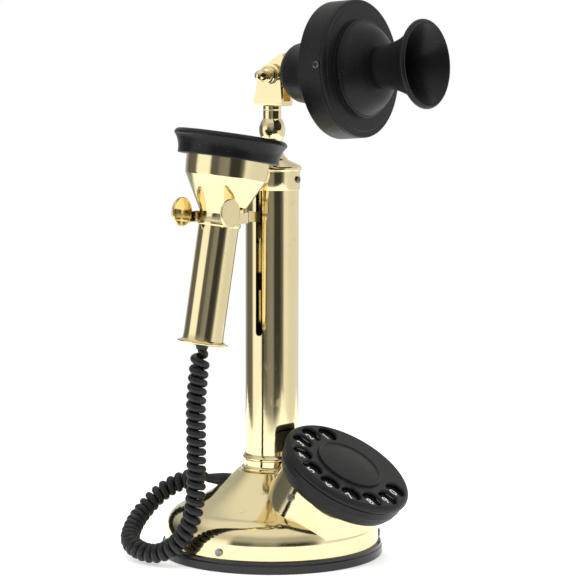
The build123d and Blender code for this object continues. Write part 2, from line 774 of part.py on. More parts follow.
# Thumbscrew: a round flange and a short round-ended knob, on the shaft that is the pivot.
boss_radius = 6.1
nut_thickness = 4.0
thumb_origin = Vector(-bracket_half, pivot_offset, pivot_height)
thumb_axis = Axis(thumb_origin, (-1, 0, 0))
thumb_profile = Plane(origin=thumb_origin, x_dir=(0, -1, 0), z_dir=Vector(0, -1, 0).cross(Vector(-1, 0, 0)))
knob_radius = 3.6
knob_neck = 2.8
knob_middle = 10.6
knob_diagonal = knob_radius * math.sqrt(0.5)
with BuildPart() as thumbscrew:
    with BuildSketch(thumb_profile):
        with BuildLine():
            Line((0, -2 * bracket_half - nut_thickness), (pivot_radius, -2 * bracket_half - nut_thickness))
            Line((pivot_radius, -2 * bracket_half - nut_thickness), (pivot_radius, 0.1))
            Line((pivot_radius, 0.1), (boss_radius, 0.1))
            Line((boss_radius, 0.1), (boss_radius, 1.8))
            ThreePointArc((boss_radius, 1.8), (5.5, 2.7), (4.2, 3.2))
            Line((4.2, 3.2), (knob_neck, 3.2))
            Line((knob_neck, 3.2), (knob_neck, 5.6))
            ThreePointArc((knob_neck, 5.6), (3.3, 6.3), (knob_radius, 7.4))
            Line((knob_radius, 7.4), (knob_radius, knob_middle))
            ThreePointArc(
                (knob_radius, knob_middle),
                (knob_diagonal, knob_middle + knob_diagonal),
                (0, knob_middle + knob_radius),
            )
            Line((0, knob_middle + knob_radius), (0, -2 * bracket_half - nut_thickness))
        make_face()
    revolve(axis=thumb_axis)
save(thumbscrew, "thumbscrew")

# Hexagon nut on the far ear.
with BuildPart() as pivot_nut:
    with BuildSketch(across_pivot(bracket_half)):
        RegularPolygon(radius=5.6, side_count=6)
        Circle(pivot_radius + running, mode=Mode.SUBTRACT)
    extrude(amount=-nut_thickness)
    chamfer(pivot_nut.faces().sort_by(Axis.X)[-1].outer_wire().edges(), length=0.6)
save(pivot_nut, "pivot_nut")

# ---------------------------------------------------------------- transmitter

# Brass tongue between the ears, with its eye on the pivot and a small plate behind the bell.
tongue_half = 3.7
bell_back = 13.5
plate_back = bell_back - 1.5
with BuildPart() as tilt_tongue:
    with BuildSketch(Plane(origin=(-tongue_half, 0, 0), x_dir=(0, -1, 0), z_dir=(-1, 0, 0))):
        with BuildLine():
            Line((-pivot_offset - 7.3, pivot_height), (-pivot_offset - 6.6, pivot_height + 3.4))
            ThreePointArc(
                (-pivot_offset - 6.6, pivot_height + 3.4),
                (4.0, pivot_height + 11.6),
                (plate_back - 0.5, pivot_height + 14.6),
            )
            Line((plate_back - 0.5, pivot_height + 14.6), (plate_back, pivot_height - 8.6))
            Line((plate_back, pivot_height - 8.6), (4.0, pivot_height - 7.2))
            ThreePointArc(
                (4.0, pivot_height - 7.2),
                (-pivot_offset - 4.6, pivot_height - 5.6),
                (-pivot_offset - 7.3, pivot_height),
            )
        make_face()
        with Locations((-pivot_offset, pivot_height)):
            Circle(pivot_radius + running, mode=Mode.SUBTRACT)
    extrude(amount=-2 * tongue_half)
    with BuildSketch(mouth_face.offset(bell_back + 2.0)):
        Circle(60.0)
    extrude(amount=-(bell_back + 2.0 - plate_back), mode=Mode.SUBTRACT)
    with BuildSketch(mouth_face.offset(plate_back)):
        with Locations((0, 2.8)):
            RectangleRounded(2 * tongue_half, 23.0, 3.0)
    extrude(amount=bell_back - plate_back)
save(tilt_tongue, "tilt_tongue")

ring_screw_station = 67.6
ring_screw_angles = (176.0, 56.0, -64.0)


def ring_radial(angle, radius):
    """Plane across a radial line of the transmitter ring, at its screws' station."""
    a = math.radians(angle)
    out = mouth_face.x_dir * math.cos(a) + mouth_face.y_dir * math.sin(a)
    at = mouth_face.origin + mouth_dir * ring_screw_station + out * radius
    return Plane(origin=at, x_dir=mouth_dir, z_dir=out)


# Spun cup: domed back and the wide ring, open in front.
cup_wall = 2.0
cup_shoulder = 53.0
with BuildPart() as transmitter_cup:
    with BuildSketch(mouth_profile):
        with BuildLine():
            Line((0, bell_back), (9.0, bell_back))
            ThreePointArc((9.0, bell_back), (15.5, 17.6), (19.6, 23.5))
            ThreePointArc((19.6, 23.5), (25.5, 39.0), (38.0, cup_shoulder - 1.2))
            Line((38.0, cup_shoulder - 1.2), (cup_outer - 1.5, cup_shoulder))
            Line((cup_outer - 1.5, cup_shoulder), (cup_outer, cup_shoulder + 1.5))
            Line((cup_outer, cup_shoulder + 1.5), (cup_outer, ring_front - 3.0))
            Line((cup_outer, ring_front - 3.0), (cup_outer - cup_wall, ring_front - 3.0))
            Line((cup_outer - cup_wall, ring_front - 3.0), (cup_outer - cup_wall, cup_shoulder + 2.0))
            Line((cup_outer - cup_wall, cup_shoulder + 2.0), (37.0, cup_shoulder + 1.0))
            ThreePointArc((37.0, cup_shoulder + 1.0), (23.6, 39.8), (17.8, 24.6))
            ThreePointArc((17.8, 24.6), (14.0, 19.2), (8.4, bell_back + cup_wall))
            Line((8.4, bell_back + cup_wall), (0, bell_back + cup_wall))
            Line((0, bell_back + cup_wall), (0, bell_back))
        make_face()
    revolve(axis=mouth_axis)
    with BuildSketch(mouth_face.offset(bell_back - 1.0)):
        with Locations((0, 5.0), (0, -5.0)):
            Circle(1.5)
    extrude(amount=5.0, mode=Mode.SUBTRACT)
    for angle in ring_screw_angles:
        with BuildSketch(ring_radial(angle, cup_outer - 6.0)):
            Circle(1.3)
        extrude(amount=9.0, mode=Mode.SUBTRACT)
save(transmitter_cup, "transmitter_cup")

# Two screws from the tongue's plate into the cup's back.
with BuildPart() as tongue_screws:
    with BuildSketch(mouth_face.offset(bell_back)):
        with Locations((0, 5.0), (0, -5.0)):
            Circle(1.5)
    extrude(amount=cup_wall)
    with BuildSketch(mouth_face.offset(bell_back + cup_wall)):
        with Locations((0, 5.0), (0, -5.0)):
            Circle(2.2)
    extrude(amount=1.8)
save(tongue_screws, "tongue_screws")


# Front face: a flat ring, a raised plate and a dome that sinks into the horn's neck.
throat_radius = 8.0
with BuildPart() as transmitter_face:
    with BuildSketch(mouth_profile):
        with BuildLine():
            Line((throat_radius, 84.0), (throat_radius, 88.5))
            Line((throat_radius, 88.5), (16.2, 88.5))
            ThreePointArc((16.2, 88.5), (24.6, 84.4), (30.6, 77.0))
            Line((30.6, 77.0), (32.0, 75.8))
            Line((32.0, 75.8), (32.6, 75.0))
            Line((32.6, 75.0), (32.6, ring_front))
            Line((32.6, ring_front), (41.0, ring_front))
            Line((41.0, ring_front), (41.4, ring_front - 0.5))
            Line((41.4, ring_front - 0.5), (44.4, ring_front - 0.5))
            Line((44.4, ring_front - 0.5), (cup_outer, ring_front - 1.6))
            Line((cup_outer, ring_front - 1.6), (cup_outer, ring_front - 3.0))
            Line((cup_outer, ring_front - 3.0), (cup_outer - cup_wall, ring_front - 3.0))
            Line((cup_outer - cup_wall, ring_front - 3.0), (cup_outer - cup_wall, ring_front - 8.0))
            Line((cup_outer - cup_wall, ring_front - 8.0), (cup_outer - cup_wall - 1.8, ring_front - 8.0))
            Line((cup_outer - cup_wall - 1.8, ring_front - 8.0), (cup_outer - cup_wall - 1.8, ring_front - 3.0))
            Line((cup_outer - cup_wall - 1.8, ring_front - 3.0), (30.0, ring_front - 2.0))
            ThreePointArc((30.0, ring_front - 2.0), (23.0, 81.2), (14.0, 84.0))
            Line((14.0, 84.0), (throat_radius, 84.0))
        make_face()
    revolve(axis=mouth_axis)
    for angle in ring_screw_angles:
        with BuildSketch(ring_radial(angle, cup_outer - 6.0)):
            Circle(1.3)
        extrude(amount=5.0, mode=Mode.SUBTRACT)
save(transmitter_face, "transmitter_face")

# Cross-slot screws round the ring.
with BuildPart() as ring_screws:
    for angle in ring_screw_angles:
        with BuildSketch(ring_radial(angle, cup_outer)):
            Circle(2.3)
        extrude(amount=1.1)
        with BuildSketch(ring_radial(angle, cup_outer - 3.8)):
            Circle(1.3)
        extrude(amount=3.8)
        with BuildSketch(ring_radial(angle, cup_outer + 0.4)):
            Rectangle(0.6, 2.9)
            Rectangle(2.9, 0.6)
        extrude(amount=0.9, mode=Mode.SUBTRACT)
save(ring_screws, "ring_screws")

# Horn mouthpiece: a narrow neck that flares to a rolled lip.
horn_wall = 1.6
neck_outer = 14.4
with BuildPart() as mouthpiece:
    with BuildSketch(mouth_profile):
        with BuildLine():
            Line((neck_outer - 0.4, 88.5), (neck_outer, 92.0))
            ThreePointArc((neck_outer, 92.0), (17.6, 105.0), (26.6, horn_front - 4.2))
            Line((26.6, horn_front - 4.2), (horn_radius - 1.2, horn_front - 4.0))
            ThreePointArc(
                (horn_radius - 1.2, horn_front - 4.0),
                (horn_radius, horn_front - 2.0),
                (horn_radius - 1.6, horn_front),
            )
            Line((horn_radius - 1.6, horn_front), (horn_radius - 2.6, horn_front - 0.8))
            ThreePointArc((horn_radius - 2.6, horn_front - 0.8), (17.0, 108.5), (12.4, 92.0))
            Line((12.4, 92.0), (12.0, 88.5))
            Line((12.0, 88.5), (neck_outer - 0.4, 88.5))
        make_face()
    revolve(axis=mouth_axis)
save(mouthpiece, "mouthpiece")

# Pierced disc at the bottom of the horn.
with BuildPart() as mouth_grille:
    with BuildSketch(mouth_face.offset(88.5)):
        Circle(12.0)
        with PolarLocations(4.0, 6):
            Circle(0.9, mode=Mode.SUBTRACT)
        with PolarLocations(7.0, 12):
            Circle(0.7, mode=Mode.SUBTRACT)
    extrude(amount=1.4)
save(mouth_grille, "mouth_grille")

# Carbon microphone capsule behind the face.
with BuildPart() as carbon_capsule:
    with BuildSketch(mouth_profile):
        with BuildLine():
            Polyline((0, 58.0), (17.0, 58.0), (17.0, 62.0), (22.0, 62.0), (22.0, 70.0), (0, 70.0), close=True)
        make_face()
    revolve(axis=mouth_axis)
save(carbon_capsule, "carbon_capsule")

# Bridge that carries the capsule, screwed across the inside of the face's skirt.
with BuildPart() as capsule_bridge:
    with BuildSketch(mouth_face.offset(55.6)):
        Rectangle(2 * 42.9, 11.0)
        Circle(3.5, mode=Mode.SUBTRACT)
    extrude(amount=2.4)
save(capsule_bridge, "capsule_bridge")

# ---------------------------------------------------------------- switch hook

lever_half = 1.8
lever_pivot = (hook_pivot_reach, hook_pivot_height)
lever_pin_radius = 1.5

# Lever with its fork: an upright bar through the slot that opens into a U round the receiver's neck.
prong_end = paddle_reach - paddle_radius + 2.0
prong_middle = 0.5 * (neck_reach + prong_end)
prong_side = fork_inner + 0.5 * fork_thickness
with BuildPart() as hook_lever:
    with BuildSketch(hook_upright.offset(-lever_half)):
        with BuildLine():
            Polyline(
                (hook_pivot_reach - 4.0, hook_pivot_height - 3.0),
                (hook_pivot_reach - 4.0, hook_pivot_height + 3.0),
                (16.0, fork_top - 3.5),
                (neck_reach - fork_inner - 1.0, fork_top),
                (neck_reach - fork_inner - 1.0, fork_bottom),
                (16.0, fork_bottom - 3.5),
                (hook_pivot_reach + 4.0, hook_pivot_height - 5.0),
                close=True,
            )
        make_face()
        with Locations(lever_pivot):
            Circle(5.0)
            Circle(lever_pin_radius + running, mode=Mode.SUBTRACT)
    extrude(amount=2 * lever_half)
    with BuildSketch(hook_flat.offset(fork_bottom)):
        with Locations((neck_reach, 0)):
            Circle(fork_inner + fork_thickness)
            with Locations((fork_inner, 0)):
                Rectangle(2 * fork_inner, 60.0, mode=Mode.SUBTRACT)
        with Locations((prong_middle, prong_side), (prong_middle, -prong_side)):
            Rectangle(prong_end - neck_reach, fork_thickness)
        with Locations((neck_reach, 0)):
            Circle(fork_inner, mode=Mode.SUBTRACT)
    extrude(amount=fork_top - fork_bottom)
save(hook_lever, "hook_lever")

# Round paddles on the prongs' ends, upright like them and turned a little towards the front.
paddle_normal = direction(hook_azimuth + 90.0 - paddle_turn)
paddle_along = direction(hook_azimuth - paddle_turn)
paddle_rim = 0.5
with BuildPart() as hook_paddles:
    for side in (-1.0, 1.0):
        middle = hook_out * paddle_reach + hook_cross * side * prong_side + Vector(0, 0, paddle_height)
        at = middle - paddle_normal * (0.5 * paddle_thickness)
        with BuildSketch(Plane(origin=at, x_dir=paddle_along, z_dir=paddle_along.cross(paddle_normal))):
            with BuildLine():
                Polyline(
                    (0, 0),
                    (paddle_radius - paddle_rim, 0),
                    (paddle_radius, paddle_rim),
                    (paddle_radius, paddle_thickness - paddle_rim),
                    (paddle_radius - paddle_rim, paddle_thickness),
                    (0, paddle_thickness),
                    close=True,
                )
            make_face()
        revolve(axis=Axis(at, paddle_normal))
    add(hook_lever.part, mode=Mode.SUBTRACT)
save(hook_paddles, "hook_paddles")

# Hinge pin across the column.
with BuildPart() as hook_pin:
    with BuildSketch(hook_upright.offset(-9.0)):
        with Locations(lever_pivot):
            Circle(lever_pin_radius)
    extrude(amount=18.0)
save(hook_pin, "hook_pin")

# Bracket inside the column: a back plate and two cheeks that hold the pin.
cheek_in = 2.2
cheek_out = 4.2
plate_half = 5.0
plate_reach = -math.sqrt(tube_bore**2 - plate_half**2)
plate_sheet = 1.6
with BuildPart() as hook_bracket:
    with BuildSketch(hook_upright.offset(-plate_half)):
        with BuildLine():
            Polyline(
                (plate_reach, 200.0),
                (plate_reach + plate_sheet, 200.0),
                (plate_reach + plate_sheet, 241.0),
                (plate_reach, 241.0),
                close=True,
            )
        make_face()
    extrude(amount=2 * plate_half)
    for low in (-cheek_out, cheek_in):
        with BuildSketch(hook_upright.offset(low)):
            with BuildLine():
                Polyline(
                    (plate_reach + plate_sheet, 211.0),
                    (hook_pivot_reach + 4.0, 217.0),
                    (hook_pivot_reach + 4.0, 227.0),
                    (plate_reach + plate_sheet, 231.0),
                    close=True,
                )
            make_face()
            with Locations(lever_pivot):
                Circle(lever_pin_radius, mode=Mode.SUBTRACT)
        extrude(amount=cheek_out - cheek_in)
    for height in bracket_screw_heights:
        with BuildSketch(hook_screw_plane(-10.0, height)):
            Circle(bracket_screw_radius)
        extrude(amount=12.0, mode=Mode.SUBTRACT)
save(hook_bracket, "hook_bracket")

# Two screws through the back of the column.
with BuildPart() as bracket_screws:
    for height in bracket_screw_heights:
        with BuildSketch(hook_screw_plane(plate_reach + plate_sheet, height)):
            Circle(bracket_screw_radius)
        extrude(amount=column_radius + plate_reach + plate_sheet)
        with BuildSketch(hook_screw_plane(-column_radius, height)):
            Circle(2.6)
        extrude(amount=1.5)
save(bracket_screws, "bracket_screws")

# Hook switch: three leaf springs in an insulating block, worked by the lever inside the column.
with BuildPart() as switch_block:
    with BuildSketch(hook_flat.offset(178.0)):
        with Locations((-9.0, 0)):
            Rectangle(8.0, 9.0)
    extrude(amount=12.0)
save(switch_block, "switch_block")

leaf_reaches = (-11.2, -9.0, -6.8)
with BuildPart() as switch_leaves:
    for reach in leaf_reaches:
        with BuildSketch(hook_flat.offset(190.0)):
            with Locations((reach, 0)):
                Rectangle(0.5, 6.0)
        extrude(amount=20.0)
save(switch_leaves, "switch_leaves")

# Foot that ties the switch block to the bracket's back plate.
with BuildPart() as switch_foot:
    with BuildSketch(hook_upright.offset(-5.0)):
        with BuildLine():
            Polyline(
                (plate_reach, 178.0),
                (-13.0, 178.0),
                (-13.0, 200.0),
                (plate_reach, 200.0),
                close=True,
            )
        make_face()
    extrude(amount=10.0)
save(switch_foot, "switch_foot")

# ---------------------------------------------------------------- receiver

handle_end = -handle_length
sheet = 1.5

# Spun cup: bead at the neck, long cone and a short cylinder that the ear cap screws onto.
cup_cone_top = 29.5
cap_foot = 41.5
cup_top = 46.0
with BuildPart() as receiver_cup:
    with BuildSketch(receiver_profile):
        with BuildLine():
            Polyline(
                (handle_radius - sheet, -3.0),
                (handle_radius + 0.8, -3.0),
                (handle_radius + 0.8, 0.6),
                (handle_radius + 0.1, 1.4),
                (handle_radius + 0.3, 5.0),
                (cup_radius - 0.7, cup_cone_top),
                (cup_radius - 0.25, 35.0),
                (cup_radius, cap_foot),
                (cup_radius, cup_top),
                (cup_radius - sheet, cup_top),
                (cup_radius - sheet, cup_cone_top + 0.8),
                (handle_radius - sheet, 5.8),
                close=True,
            )
        make_face()
    revolve(axis=receiver_axis)
save(receiver_cup, "receiver_cup")

# Ear cap: flared black cap with a dished face and sound holes.
ear_top = 57.4
with BuildPart() as ear_cap:
    with BuildSketch(receiver_profile):
        with BuildLine():
            Line((cup_radius, cap_foot), (33.0, cap_foot))
            Line((33.0, cap_foot), (33.4, cap_foot + 0.6))
            ThreePointArc((33.4, cap_foot + 0.6), (34.0, 48.0), (36.6, 53.2))
            Line((36.6, 53.2), (ear_radius, 54.0))
            Line((ear_radius, 54.0), (ear_radius, 54.9))
            ThreePointArc((ear_radius, 54.9), (36.3, 56.5), (34.0, ear_top))
            ThreePointArc((34.0, ear_top), (21.0, 52.2), (5.0, 50.6))
            Line((5.0, 50.6), (0, 50.6))
            Line((0, 50.6), (0, 47.8))
            Line((0, 47.8), (22.0, 47.8))
            Line((22.0, 47.8), (cup_radius, cup_top + 0.4))
            Line((cup_radius, cup_top + 0.4), (cup_radius, cap_foot))
        make_face()
    revolve(axis=receiver_axis)
    with BuildSketch(receiver_face.offset(45.0)):
        Circle(2.2)
        with PolarLocations(6.5, 6):
            Circle(1.4)
    extrude(amount=12.0, mode=Mode.SUBTRACT)
save(ear_cap, "ear_cap")

with BuildPart() as diaphragm:
    with BuildSketch(receiver_face.offset(cup_top)):
        Circle(cup_radius - 0.3)
    extrude(amount=0.4)
save(diaphragm, "diaphragm")

# Magnet bar across the cup and the two coils on its pole pieces.
with BuildPart() as receiver_magnet:
    with BuildSketch(receiver_face.offset(31.0)):
        Circle(cup_radius - sheet)
    extrude(amount=3.5)
    with BuildSketch(receiver_face.offset(34.5)):
        with Locations((-8.0, 0), (8.0, 0)):
            Rectangle(4.0, 9.0)
    extrude(amount=10.6)
save(receiver_magnet, "receiver_magnet")

with BuildPart() as receiver_coils:
    with BuildSketch(receiver_face.offset(34.5)):
        with Locations((-8.0, 0), (8.0, 0)):
            RectangleRounded(10.0, 16.0, 2.5)
            Rectangle(4.0, 9.0, mode=Mode.SUBTRACT)
    extrude(amount=8.5)
save(receiver_coils, "receiver_coils")

# Drawn tube handle and its turned end.
with BuildPart() as receiver_handle:
    with BuildSketch(receiver_face.offset(handle_end)):
        Circle(handle_radius)
        Circle(handle_radius - sheet, mode=Mode.SUBTRACT)
    extrude(amount=handle_length - 3.0)
save(receiver_handle, "receiver_handle")

flange_radius_out = 16.6
bush_radius = 4.4
with BuildPart() as handle_flange:
    with BuildSketch(receiver_profile):
        with BuildLine():
            Polyline(
                (bush_radius, handle_end),
                (14.2, handle_end),
                (flange_radius_out, handle_end - 0.8),
                (flange_radius_out, handle_end - 2.2),
                (flange_radius_out - 0.9, handle_end - 3.2),
                (bush_radius, handle_end - 3.2),
                close=True,
            )
        make_face()
    revolve(axis=receiver_axis)
save(handle_flange, "handle_flange")

# Rubber bush where the cord goes into the handle.
bush_low = handle_end - 6.5
with BuildPart() as handle_bush:
    with BuildSketch(receiver_profile):
        with BuildLine():
            Polyline(
                (0, handle_end + 6.0),
                (bush_radius, handle_end + 6.0),
                (bush_radius, handle_end - 3.2),
                (bush_radius - 1.0, bush_low),
                (0, bush_low),
                close=True,
            )
        make_face()
    revolve(axis=receiver_axis)
save(handle_bush, "handle_bush")

# ---------------------------------------------------------------- wiring

# Insulating block on the closing plate with four brass terminal screws.
block_middle = (0.0, 8.0)
block_top = ledge + 9.0
terminal_pitch = 9.0
with BuildPart() as terminal_block:
    with BuildSketch(Plane.XY.offset(ledge)):
        with Locations(block_middle):
            RectangleRounded(42.0, 18.0, 2.0)
    extrude(amount=block_top - ledge)
    with BuildSketch(Plane.XY.offset(block_top - 7.0)):
        with Locations(block_middle):
            with GridLocations(terminal_pitch, 0, 4, 1):
                Circle(1.5)
    extrude(amount=7.0, mode=Mode.SUBTRACT)
save(terminal_block, "terminal_block")

with BuildPart() as terminal_screws:
    with BuildSketch(Plane.XY.offset(block_top - 7.0)):
        with Locations(block_middle):
            with GridLocations(terminal_pitch, 0, 4, 1):
                Circle(1.5)
    extrude(amount=7.0)
    with BuildSketch(Plane.XY.offset(block_top)):
        with Locations(block_middle):
            with GridLocations(terminal_pitch, 0, 4, 1):
                Circle(3.2)
    extrude(amount=2.0)
    with BuildSketch(Plane.XY.offset(block_top + 1.1)):
        with Locations(block_middle):
            with GridLocations(terminal_pitch, 0, 4, 1):
                Rectangle(7.0, 0.8)
    extrude(amount=1.0, mode=Mode.SUBTRACT)
save(terminal_screws, "terminal_screws")

# ---------------------------------------------------------------- cords

# Tapered grommet on the pan's back slope for the receiver cord.
with BuildPart() as cord_grommet:
    with BuildSketch(Plane(origin=inlet_tip, x_dir=inlet_plane.x_dir, z_dir=inlet_plane.x_dir.cross(inlet_out))):
        with BuildLine():
            Polyline(
                (0, -24.0),
                (grommet_radius, -24.0),
                (grommet_radius, -11.0),
                (grommet_radius - 1.6, 0),
                (0, 0),
                close=True,
            )
        make_face()
    revolve(axis=Axis(inlet_tip, inlet_out))
save(cord_grommet, "cord_grommet")

# Open grommet in the rim for a line cord, which isn't part of this telephone.
with BuildPart() as line_grommet:
    with BuildSketch(line_plane.offset(-3.0)):
        Circle(line_outer)
        Circle(line_bore, mode=Mode.SUBTRACT)
    extrude(amount=3.6)
    with BuildSketch(line_plane.offset(0.6)):
        Circle(line_outer + 1.6)
        Circle(line_bore, mode=Mode.SUBTRACT)
    extrude(amount=1.6)
save(line_grommet, "line_grommet")

# Curly receiver cord, as one tube of the coil's outer size: it hangs from the handle, touches the
# table beside the foot and climbs round to the grommet.
cord_start = neck + receiver_up * bush_low
cord_lead = cord_start - receiver_up * 29.0
cord_end = inlet_tip
cord_tail = inlet_tip + inlet_out * 11.0
cord_route = [
    (cord_start.X, cord_start.Y, cord_start.Z),
    (cord_lead.X, cord_lead.Y, cord_lead.Z),
    (-83.6, 1.4, 90.0),
    (-81.8, 2.6, 58.0),
    (-81.9, 5.6, 34.5),
    (-82.5, 17.0, 17.2),
    (-83.9, 34.0, 7.4),
    (-83.1, 51.0, 8.4),
    (-74.2, 66.4, 11.4),
    (-58.9, 75.3, 18.2),
    (-44.0, 78.0, 26.2),
    (-33.2, 74.4, 35.4),
    (-25.6, 66.6, 42.8),
    (cord_tail.X, cord_tail.Y, cord_tail.Z),
    (cord_end.X, cord_end.Y, cord_end.Z),
]


def corner_radii(points):
    """Largest neat arc at each corner: 0.45 of the shorter run over tan(half the turn)."""
    radii = []
    for before, corner, after in zip(points, points[1:], points[2:]):
        run_in = Vector(*corner) - Vector(*before)
        run_out = Vector(*after) - Vector(*corner)
        half_turn = math.radians(run_in.get_angle(run_out)) / 2
        radii.append(0.45 * min(run_in.length, run_out.length) / math.tan(half_turn))
    return radii


route_radii = corner_radii(cord_route)
with BuildPart() as receiver_cord:
    with BuildLine() as cord_path:
        FilletPolyline(*cord_route, radius=route_radii)
    start_plane = Plane(origin=cord_path.wire() @ 0, z_dir=cord_path.wire() % 0)
    with BuildSketch(start_plane):
        Circle(cord_radius)
    sweep(path=cord_path.wire())
save(receiver_cord, "receiver_cord")

cord_length = cord_path.wire().length
section_volume = math.pi * cord_radius**2 * cord_length
print("cord route", [tuple(round(c, 2) for c in point) for point in cord_route])
print("cord arc radii", [round(r, 1) for r in route_radii])
print("cord length", round(cord_length, 1), "volume ratio", round(receiver_cord.part.volume / section_volume, 4))
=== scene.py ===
import bpy
import bmesh
import math
from mathutils import Matrix, Vector


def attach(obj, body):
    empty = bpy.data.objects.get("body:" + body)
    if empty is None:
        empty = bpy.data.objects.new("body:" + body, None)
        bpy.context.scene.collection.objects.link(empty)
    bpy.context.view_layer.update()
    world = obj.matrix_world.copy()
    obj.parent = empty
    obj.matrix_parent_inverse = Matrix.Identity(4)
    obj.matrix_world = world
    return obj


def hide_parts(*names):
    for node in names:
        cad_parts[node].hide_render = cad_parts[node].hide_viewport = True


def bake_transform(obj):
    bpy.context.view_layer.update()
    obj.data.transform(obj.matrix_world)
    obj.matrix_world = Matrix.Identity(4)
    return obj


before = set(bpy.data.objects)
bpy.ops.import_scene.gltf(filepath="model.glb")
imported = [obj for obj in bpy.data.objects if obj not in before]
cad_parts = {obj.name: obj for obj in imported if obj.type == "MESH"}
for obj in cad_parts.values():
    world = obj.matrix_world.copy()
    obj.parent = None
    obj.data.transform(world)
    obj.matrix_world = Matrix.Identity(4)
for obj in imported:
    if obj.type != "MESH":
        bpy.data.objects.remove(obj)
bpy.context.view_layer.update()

# ---------------------------------------------------------------- the table top and the studio
# A seamless pale sheet under the telephone, and a ring of tall soft panels with
# dark gaps between them, which is what gives polished brass its upright bands.
mm = 0.001
scene = bpy.context.scene
scene.view_settings.view_transform = "Standard"


class Wire:
    """One socket of a material; sums written with it become Math nodes."""

    def __init__(self, tree, socket=None):
        self.tree = tree
        self.socket = socket

    def node(self, kind, settings=None, sockets=None, out=0):
        made = self.tree.nodes.new(kind)
        for key, value in (settings or {}).items():
            if key == "stops":
                ramp = made.color_ramp
                while len(ramp.elements) < len(value):
                    ramp.elements.new(1.0)
                for stop, (place, tone) in zip(ramp.elements, value):
                    stop.position = place
                    stop.color = (*tone, 1.0)
            else:
                setattr(made, key, value)
        for key, value in (sockets or {}).items():
            if isinstance(value, Wire):
                self.tree.links.new(value.socket, made.inputs[key])
            else:
                made.inputs[key].default_value = value
        return Wire(self.tree, made.outputs[out] if made.outputs else None)

    def sum(self, operation, *values):
        return self.node("ShaderNodeMath", {"operation": operation}, dict(enumerate(values)))

    def __add__(self, other):
        return self.sum("ADD", self, other)

    def __radd__(self, other):
        return self.sum("ADD", other, self)

    def __sub__(self, other):
        return self.sum("SUBTRACT", self, other)

    def __rsub__(self, other):
        return self.sum("SUBTRACT", other, self)

    def __mul__(self, other):
        return self.sum("MULTIPLY", self, other)

    def __rmul__(self, other):
        return self.sum("MULTIPLY", other, self)

    def __truediv__(self, other):
        return self.sum("DIVIDE", self, other)


world = bpy.data.worlds.new("studio")
scene.world = world
world.use_nodes = True
world.node_tree.nodes.clear()
sky = Wire(world.node_tree)
way = sky.node("ShaderNodeTexCoord")
east, north, height = (sky.node("ShaderNodeSeparateXYZ", None, {"Vector": way}, out=k) for k in range(3))
bearing = sky.sum("FRACT", sky.sum("ARCTAN2", north, east) / (2 * math.pi) + 1.0)
panels = [
    (0, 0.8), (60, 0.5), (84, 0.13), (119, 0.16), (128, 1.2), (166, 1.2), (173, 0.13), (190, 0.12),
    (198, 0.25), (219, 0.3), (227, 0.045), (251, 0.045), (262, 0.18), (272, 1.0), (300, 0.85),
    (345, 0.85),
]
strongest = 1.2
bands = sky.node(
    "ShaderNodeValToRGB",
    {
        "stops": [
            (angle / 360, (tone / strongest, tone / strongest, 0.98 * tone / strongest))
            for angle, tone in panels
        ],
    },
    {"Fac": bearing},
)
dusk = sky.node(
    "ShaderNodeMapRange",
    {"interpolation_type": "SMOOTHSTEP"},
    {"Value": height, "From Min": 0.12, "From Max": 0.45},
)
overhead = sky.node(
    "ShaderNodeMapRange",
    {"interpolation_type": "SMOOTHSTEP"},
    {"Value": height, "From Min": 0.55, "From Max": 0.85},
)
upper_wall = (0.46, 0.46, 0.44, 1.0)
ceiling = (0.75, 0.74, 0.7, 1.0)
walls = sky.node("ShaderNodeMix", {"data_type": "RGBA"}, {0: 0.8 * dusk, 6: bands, 7: upper_wall}, out=2)
room = sky.node("ShaderNodeMix", {"data_type": "RGBA"}, {0: overhead, 6: walls, 7: ceiling}, out=2)
lit = sky.node("ShaderNodeBackground", None, {"Color": room, "Strength": strongest})
bare = sky.node("ShaderNodeBackground", None, {"Color": (1.0, 1.0, 1.0, 1.0), "Strength": 1.0})
direct = sky.node("ShaderNodeLightPath")
both = sky.node("ShaderNodeMixShader", None, {0: direct, 1: lit, 2: bare})
sky.node("ShaderNodeOutputWorld", None, {"Surface": both})

sheet_half = 0.55
sheet_turn = math.radians(35.5)
sheet_mesh = bpy.data.meshes.new("table_sheet")
sheet_mesh.from_pydata(
    [
        (sheet_half * (x * math.cos(sheet_turn) - y * math.sin(sheet_turn)),
         sheet_half * (x * math.sin(sheet_turn) + y * math.cos(sheet_turn)), 0)
        for x, y in ((-1, -1), (1, -1), (1, 1), (-1, 1))
    ],
    [],
    [(0, 1, 2, 3)],
)
table_sheet = bpy.data.objects.new("table_sheet", sheet_mesh)
scene.collection.objects.link(table_sheet)


def finish(name):
    """A new material, its empty tree as a Wire, and nothing else."""
    made = bpy.data.materials.new(name)
    made.use_nodes = True
    made.node_tree.nodes.clear()
    return made, Wire(made.node_tree)


def coat(tree, **sockets):
    """Puts a Principled shader with these sockets on a material's output."""
    named = {key.replace("_", " "): value for key, value in sockets.items()}
    shader = tree.node("ShaderNodeBsdfPrincipled", None, named)
    tree.node("ShaderNodeOutputMaterial", None, {"Surface": shader})


paper, t = finish("white_paper")
grain = t.node(
    "ShaderNodeTexNoise",
    None,
    {"Vector": t.node("ShaderNodeTexCoord", out=3), "Scale": 900.0},
)
coat(
    t,
    Base_Color=(0.93, 0.93, 0.925, 1.0),
    Roughness=0.85 + 0.1 * grain,
    Emission_Color=(1.0, 1.0, 1.0, 1.0),
    Emission_Strength=0.5,
)
table_sheet.data.materials.append(paper)


